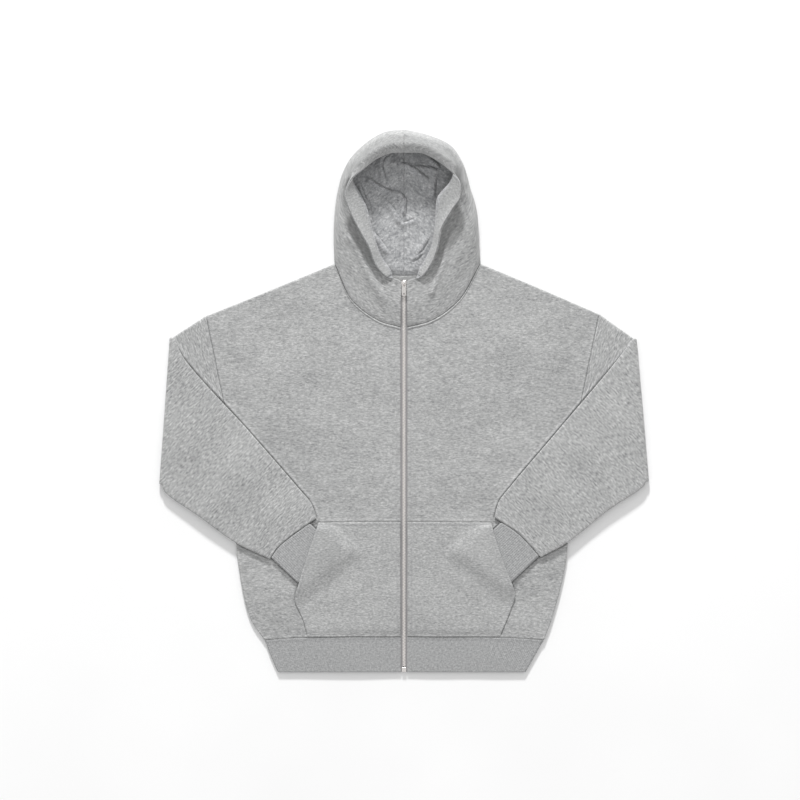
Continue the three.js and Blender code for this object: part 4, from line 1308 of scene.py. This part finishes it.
def hood(name):
    side = SIDES[name]
    steps = np.unique(np.concatenate([
        np.linspace(0, 0.08, 8), np.linspace(0.08, 1, 68), np.linspace(1, 5, 4 * HOOD_FINE), np.linspace(5, 5.9, 16),
        [5.94, 5.97, 6.0],
    ]))
    places = np.unique(np.concatenate([np.linspace(0, 0.03, 5), np.linspace(0.03, 0.985, HOOD_PLACES), [0.99, 0.996, 1]]))
    grid = hood_grid(name, steps, places)
    first = neck_row(side, steps)
    shift = first - grid[0]
    fade = (1 - smooth(places / 0.035))[:, None, None]
    grid = grid + shift[None] * fade
    grid[..., 2] += hood_relief(grid, steps, side["sign"])
    grid[..., 0] *= side["sign"]
    knit = tube_knit(grid, 2000 * side["sign"])
    lift = sewn(edge_distance(grid, 1, True), "rim") + sewn(edge_distance(grid, 0, False), "collar")
    piece = cloth_piece(f"hood_{name}_cloth", grid, [SLEEVE_MARL, FLEECE], knit=knit, sign=side["sign"],
                        outside=-side["sign"], lift=lift)
    return piece, grid


def hem_band(name):
    side = SIDES[name]
    steps = np.concatenate([np.linspace(HEM_BAND_START, 5.36, 4), np.linspace(5.4, 5.92, 12), [5.95, 5.98, 6.0]])
    places = np.concatenate([np.linspace(HEM_BAND_PLACE, 0.99, 100), [0.996, 1.0]])
    grid = hood_grid(name, steps, places)
    grid[..., 0] *= side["sign"]
    normals = grid_normals(grid, False) * side["sign"]
    grid = grid + normals * (CLOTH / 2 + SEAM_GAP + HEM_BAND_CLOTH / 2)
    knit = tube_knit(grid, 2600 * side["sign"])
    piece = cloth_piece(f"hood_hem_{name}_cloth", grid, [MARL], cloth=HEM_BAND_CLOTH, knit=knit, sign=side["sign"],
                        outside=side["sign"])
    return piece, grid


# Zip
TEETH_END_Y = -456.0
ZIP_TOP_Y = 206.0
SLIDER_Z = 12.0
TAPE_SIZE = {"width": 11.5, "low": -2.2, "high": -1.4, "inner": 0.9}
TOOTH = {"pitch": 2.6, "inner": -0.55, "outer": 2.6, "shoulder": 0.8, "thick": 2.0, "low": -2.2, "high": 0.2}
TOOTH_HEAD = 0.53


def zip_rise(ys):
    """Height of the front's cloth beside the zip."""
    places = np.linspace(0, 2 / 13, 40)
    edge = np.stack([hood_section("left", place)[3] for place in places])
    height = np.array([hood_section("left", place)[0][-1] for place in places])
    height[0] = FRONT_Z
    z = np.interp(ys, edge[:, 1], height - SEAM_GAP * smooth((edge[:, 1] - 128) / 10))
    return np.where(ys > edge[0, 1], np.minimum(z, SLIDER_Z), FRONT_Z)


def zip_tape(name):
    sign = SIDES[name]["sign"]
    ys = np.unique(np.concatenate([np.linspace(HEM_BOTTOM_Y, 120, 140), np.linspace(120, ZIP_TOP_Y, 40)]))
    xs = np.concatenate([[TAPE_SIZE["inner"]], np.linspace(1.5, TAPE_SIZE["width"], 8)])
    x, y = np.meshgrid(xs, ys)
    z = zip_rise(y) + (TAPE_SIZE["low"] + TAPE_SIZE["high"]) / 2
    grid = np.stack([sign * x, y, z], axis=2)
    grid[..., 2] += relief(grid[..., 0], grid[..., 1]) * tape_share(y)
    piece = cloth_piece(f"zip_tape_{name}", grid, [TAPE], cloth=TAPE_SIZE["high"] - TAPE_SIZE["low"],
                        knit=grid.copy(), outside=sign)
    return piece


def tape_share(y):
    """The front's relief reaches the zip below the neck seam and fades out above it."""
    return 1 - smooth((y - 100) / 28)


def teeth(name):
    """One side's row of metal teeth, each a small block with a rounded head."""
    sign = SIDES[name]["sign"]
    pitch = TOOTH["pitch"]
    start = TEETH_END_Y + pitch * (0.5 if sign > 0 else 1.0)
    ys = np.arange(start, ZIP_TOP_Y - 1, pitch)
    zs = zip_rise(ys) + relief(np.zeros_like(ys), ys) * tape_share(ys)
    half = TOOTH["thick"] / 2
    head, shoulder = TOOTH["inner"] + 0.35, TOOTH["shoulder"]
    outline = [
        (TOOTH["outer"], -half * 0.9), (TOOTH["outer"], half * 0.9), (shoulder, half), (head, half * TOOTH_HEAD),
        (TOOTH["inner"], 0.0), (head, -half * TOOTH_HEAD), (shoulder, -half),
    ]
    layers = [(TOOTH["low"], 0.8), (TOOTH["low"] + 0.3, 1.0), (TOOTH["high"] - 0.2, 1.0), (TOOTH["high"], 0.93)]
    count = len(outline)
    points, faces = [], []
    centre = (TOOTH["outer"] + TOOTH["inner"]) / 2
    for y, z in zip(ys, zs):
        base = len(points)
        for height, share in layers:
            for px, py in outline:
                points.append((sign * (centre + (px - centre) * share), y + py * share, z + height))
        for layer in range(len(layers) - 1):
            for k in range(count):
                a = base + layer * count + k
                b = base + layer * count + (k + 1) % count
                faces.append((a, b, b + count, a + count))
        faces.append(tuple(base + k for k in range(count)))
        top = base + (len(layers) - 1) * count
        faces.append(tuple(top + k for k in range(count)))
    return build_mesh(f"zip_teeth_{name}", points, faces, [TEETH_SILVER])


def rounded_copy(node, name, width, looks):
    """A copy of a metal node with its edges rounded."""
    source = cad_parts[node]
    mesh = source.data.copy()
    mesh.name = name
    mesh.materials.clear()
    mesh.materials.append(looks)
    piece = bpy.data.objects.new(name, mesh)
    bpy.context.scene.collection.objects.link(piece)
    work = bmesh.new()
    work.from_mesh(mesh)
    bmesh.ops.remove_doubles(work, verts=work.verts, dist=1e-6)
    bmesh.ops.dissolve_limit(work, angle_limit=math.radians(2), verts=work.verts, edges=work.edges)
    sharp = [e for e in work.edges if len(e.link_faces) == 2 and e.calc_face_angle(0) > math.radians(35)]
    bmesh.ops.bevel(work, geom=sharp, offset=width * MM, segments=2, affect="EDGES", clamp_overlap=True)
    bmesh.ops.recalc_face_normals(work, faces=work.faces)
    work.to_mesh(mesh)
    work.free()
    mesh.shade_smooth()
    mesh.set_sharp_from_angle(angle=math.radians(40))
    return piece


# Rows of stitches
ZIP_STITCH_RANGE = (-203.0, 124.0)
HEM_STITCH_PLACE = 2.2


def front_stitches(name, piece, grid, us):
    """Beside the neck seam, and beside the zip above the pocket."""
    sign = SIDES[name]["sign"]
    neck = skin_line(grid[:, us < FRONT_SPLIT], 0, True, SEAMS["neck"][0], sign)
    beside_zip = skin_line(grid, 1, False, SEAMS["zip"][0], sign)
    shown = (beside_zip[:, 1] > ZIP_STITCH_RANGE[0]) & (beside_zip[:, 1] < ZIP_STITCH_RANGE[1])
    stitch_row(f"neck_stitches_{name}", piece, neck)
    stitch_row(f"zip_stitches_{name}", piece, beside_zip[shown])


def pocket_stitches(name, piece, grid):
    """Along the pocket's top, its opening and side, and beside the zip."""
    sign = SIDES[name]["sign"]
    stitch_row(f"pocket_top_stitches_{name}", piece, skin_line(grid, 0, True, SEAMS["pocket"][0], sign))
    stitch_row(f"pocket_side_stitches_{name}", piece, skin_line(grid, 1, True, SEAMS["pocket"][0], sign))
    stitch_row(f"pocket_zip_stitches_{name}", piece, skin_line(grid, 1, False, SEAMS["zip"][0], sign))


def hood_stitches(name, piece, grid):
    """Beside the hood's face edge, on the outside."""
    line = skin_line(grid, 1, True, SEAMS["rim"][0], -SIDES[name]["sign"])
    stitch_row(f"hood_stitches_{name}", piece, line[6:-4])


def hem_stitches(name, piece, grid):
    """Along the inner edge of the hood's turned hem."""
    line = skin_line(grid, 1, False, HEM_STITCH_PLACE, SIDES[name]["sign"], HEM_BAND_CLOTH)
    stitch_row(f"hood_hem_stitches_{name}", piece, line)


# Assembly
def settle(piece, node, body=BODY):
    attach(piece, body)
    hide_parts(node)


back = back_panel()
settle(back, "back")

band = waistband()
settle(band, "waistband")

for name in ("left", "right"):
    panel, panel_grid, us = front_panel(name)
    settle(panel, f"front_{name}")
    front_stitches(name, panel, panel_grid, us)

    tube = sleeve(name)
    settle(tube, f"sleeve_{name}")

    wrist = cuff(name)
    settle(wrist, f"cuff_{name}")

    pouch, pouch_grid = pocket(name)
    settle(pouch, f"pocket_{name}")
    pocket_stitches(name, pouch, pouch_grid)

    crown, crown_grid = hood(name)
    settle(crown, f"hood_{name}")
    hood_stitches(name, crown, crown_grid)

    turned, turned_grid = hem_band(name)
    settle(turned, f"hood_hem_{name}")
    hem_stitches(name, turned, turned_grid)

    tape = zip_tape(name)
    settle(tape, f"zip_{name}")
    row = teeth(name)
    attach(row, BODY)

for node, width, body in (("zip_slider", 0.25, BODY), ("zip_pull", 0.3, PULL_BODY), ("zip_box", 0.4, BODY)):
    piece = rounded_copy(node, f"{node}_silver", width, SILVER)
    settle(piece, node, body)
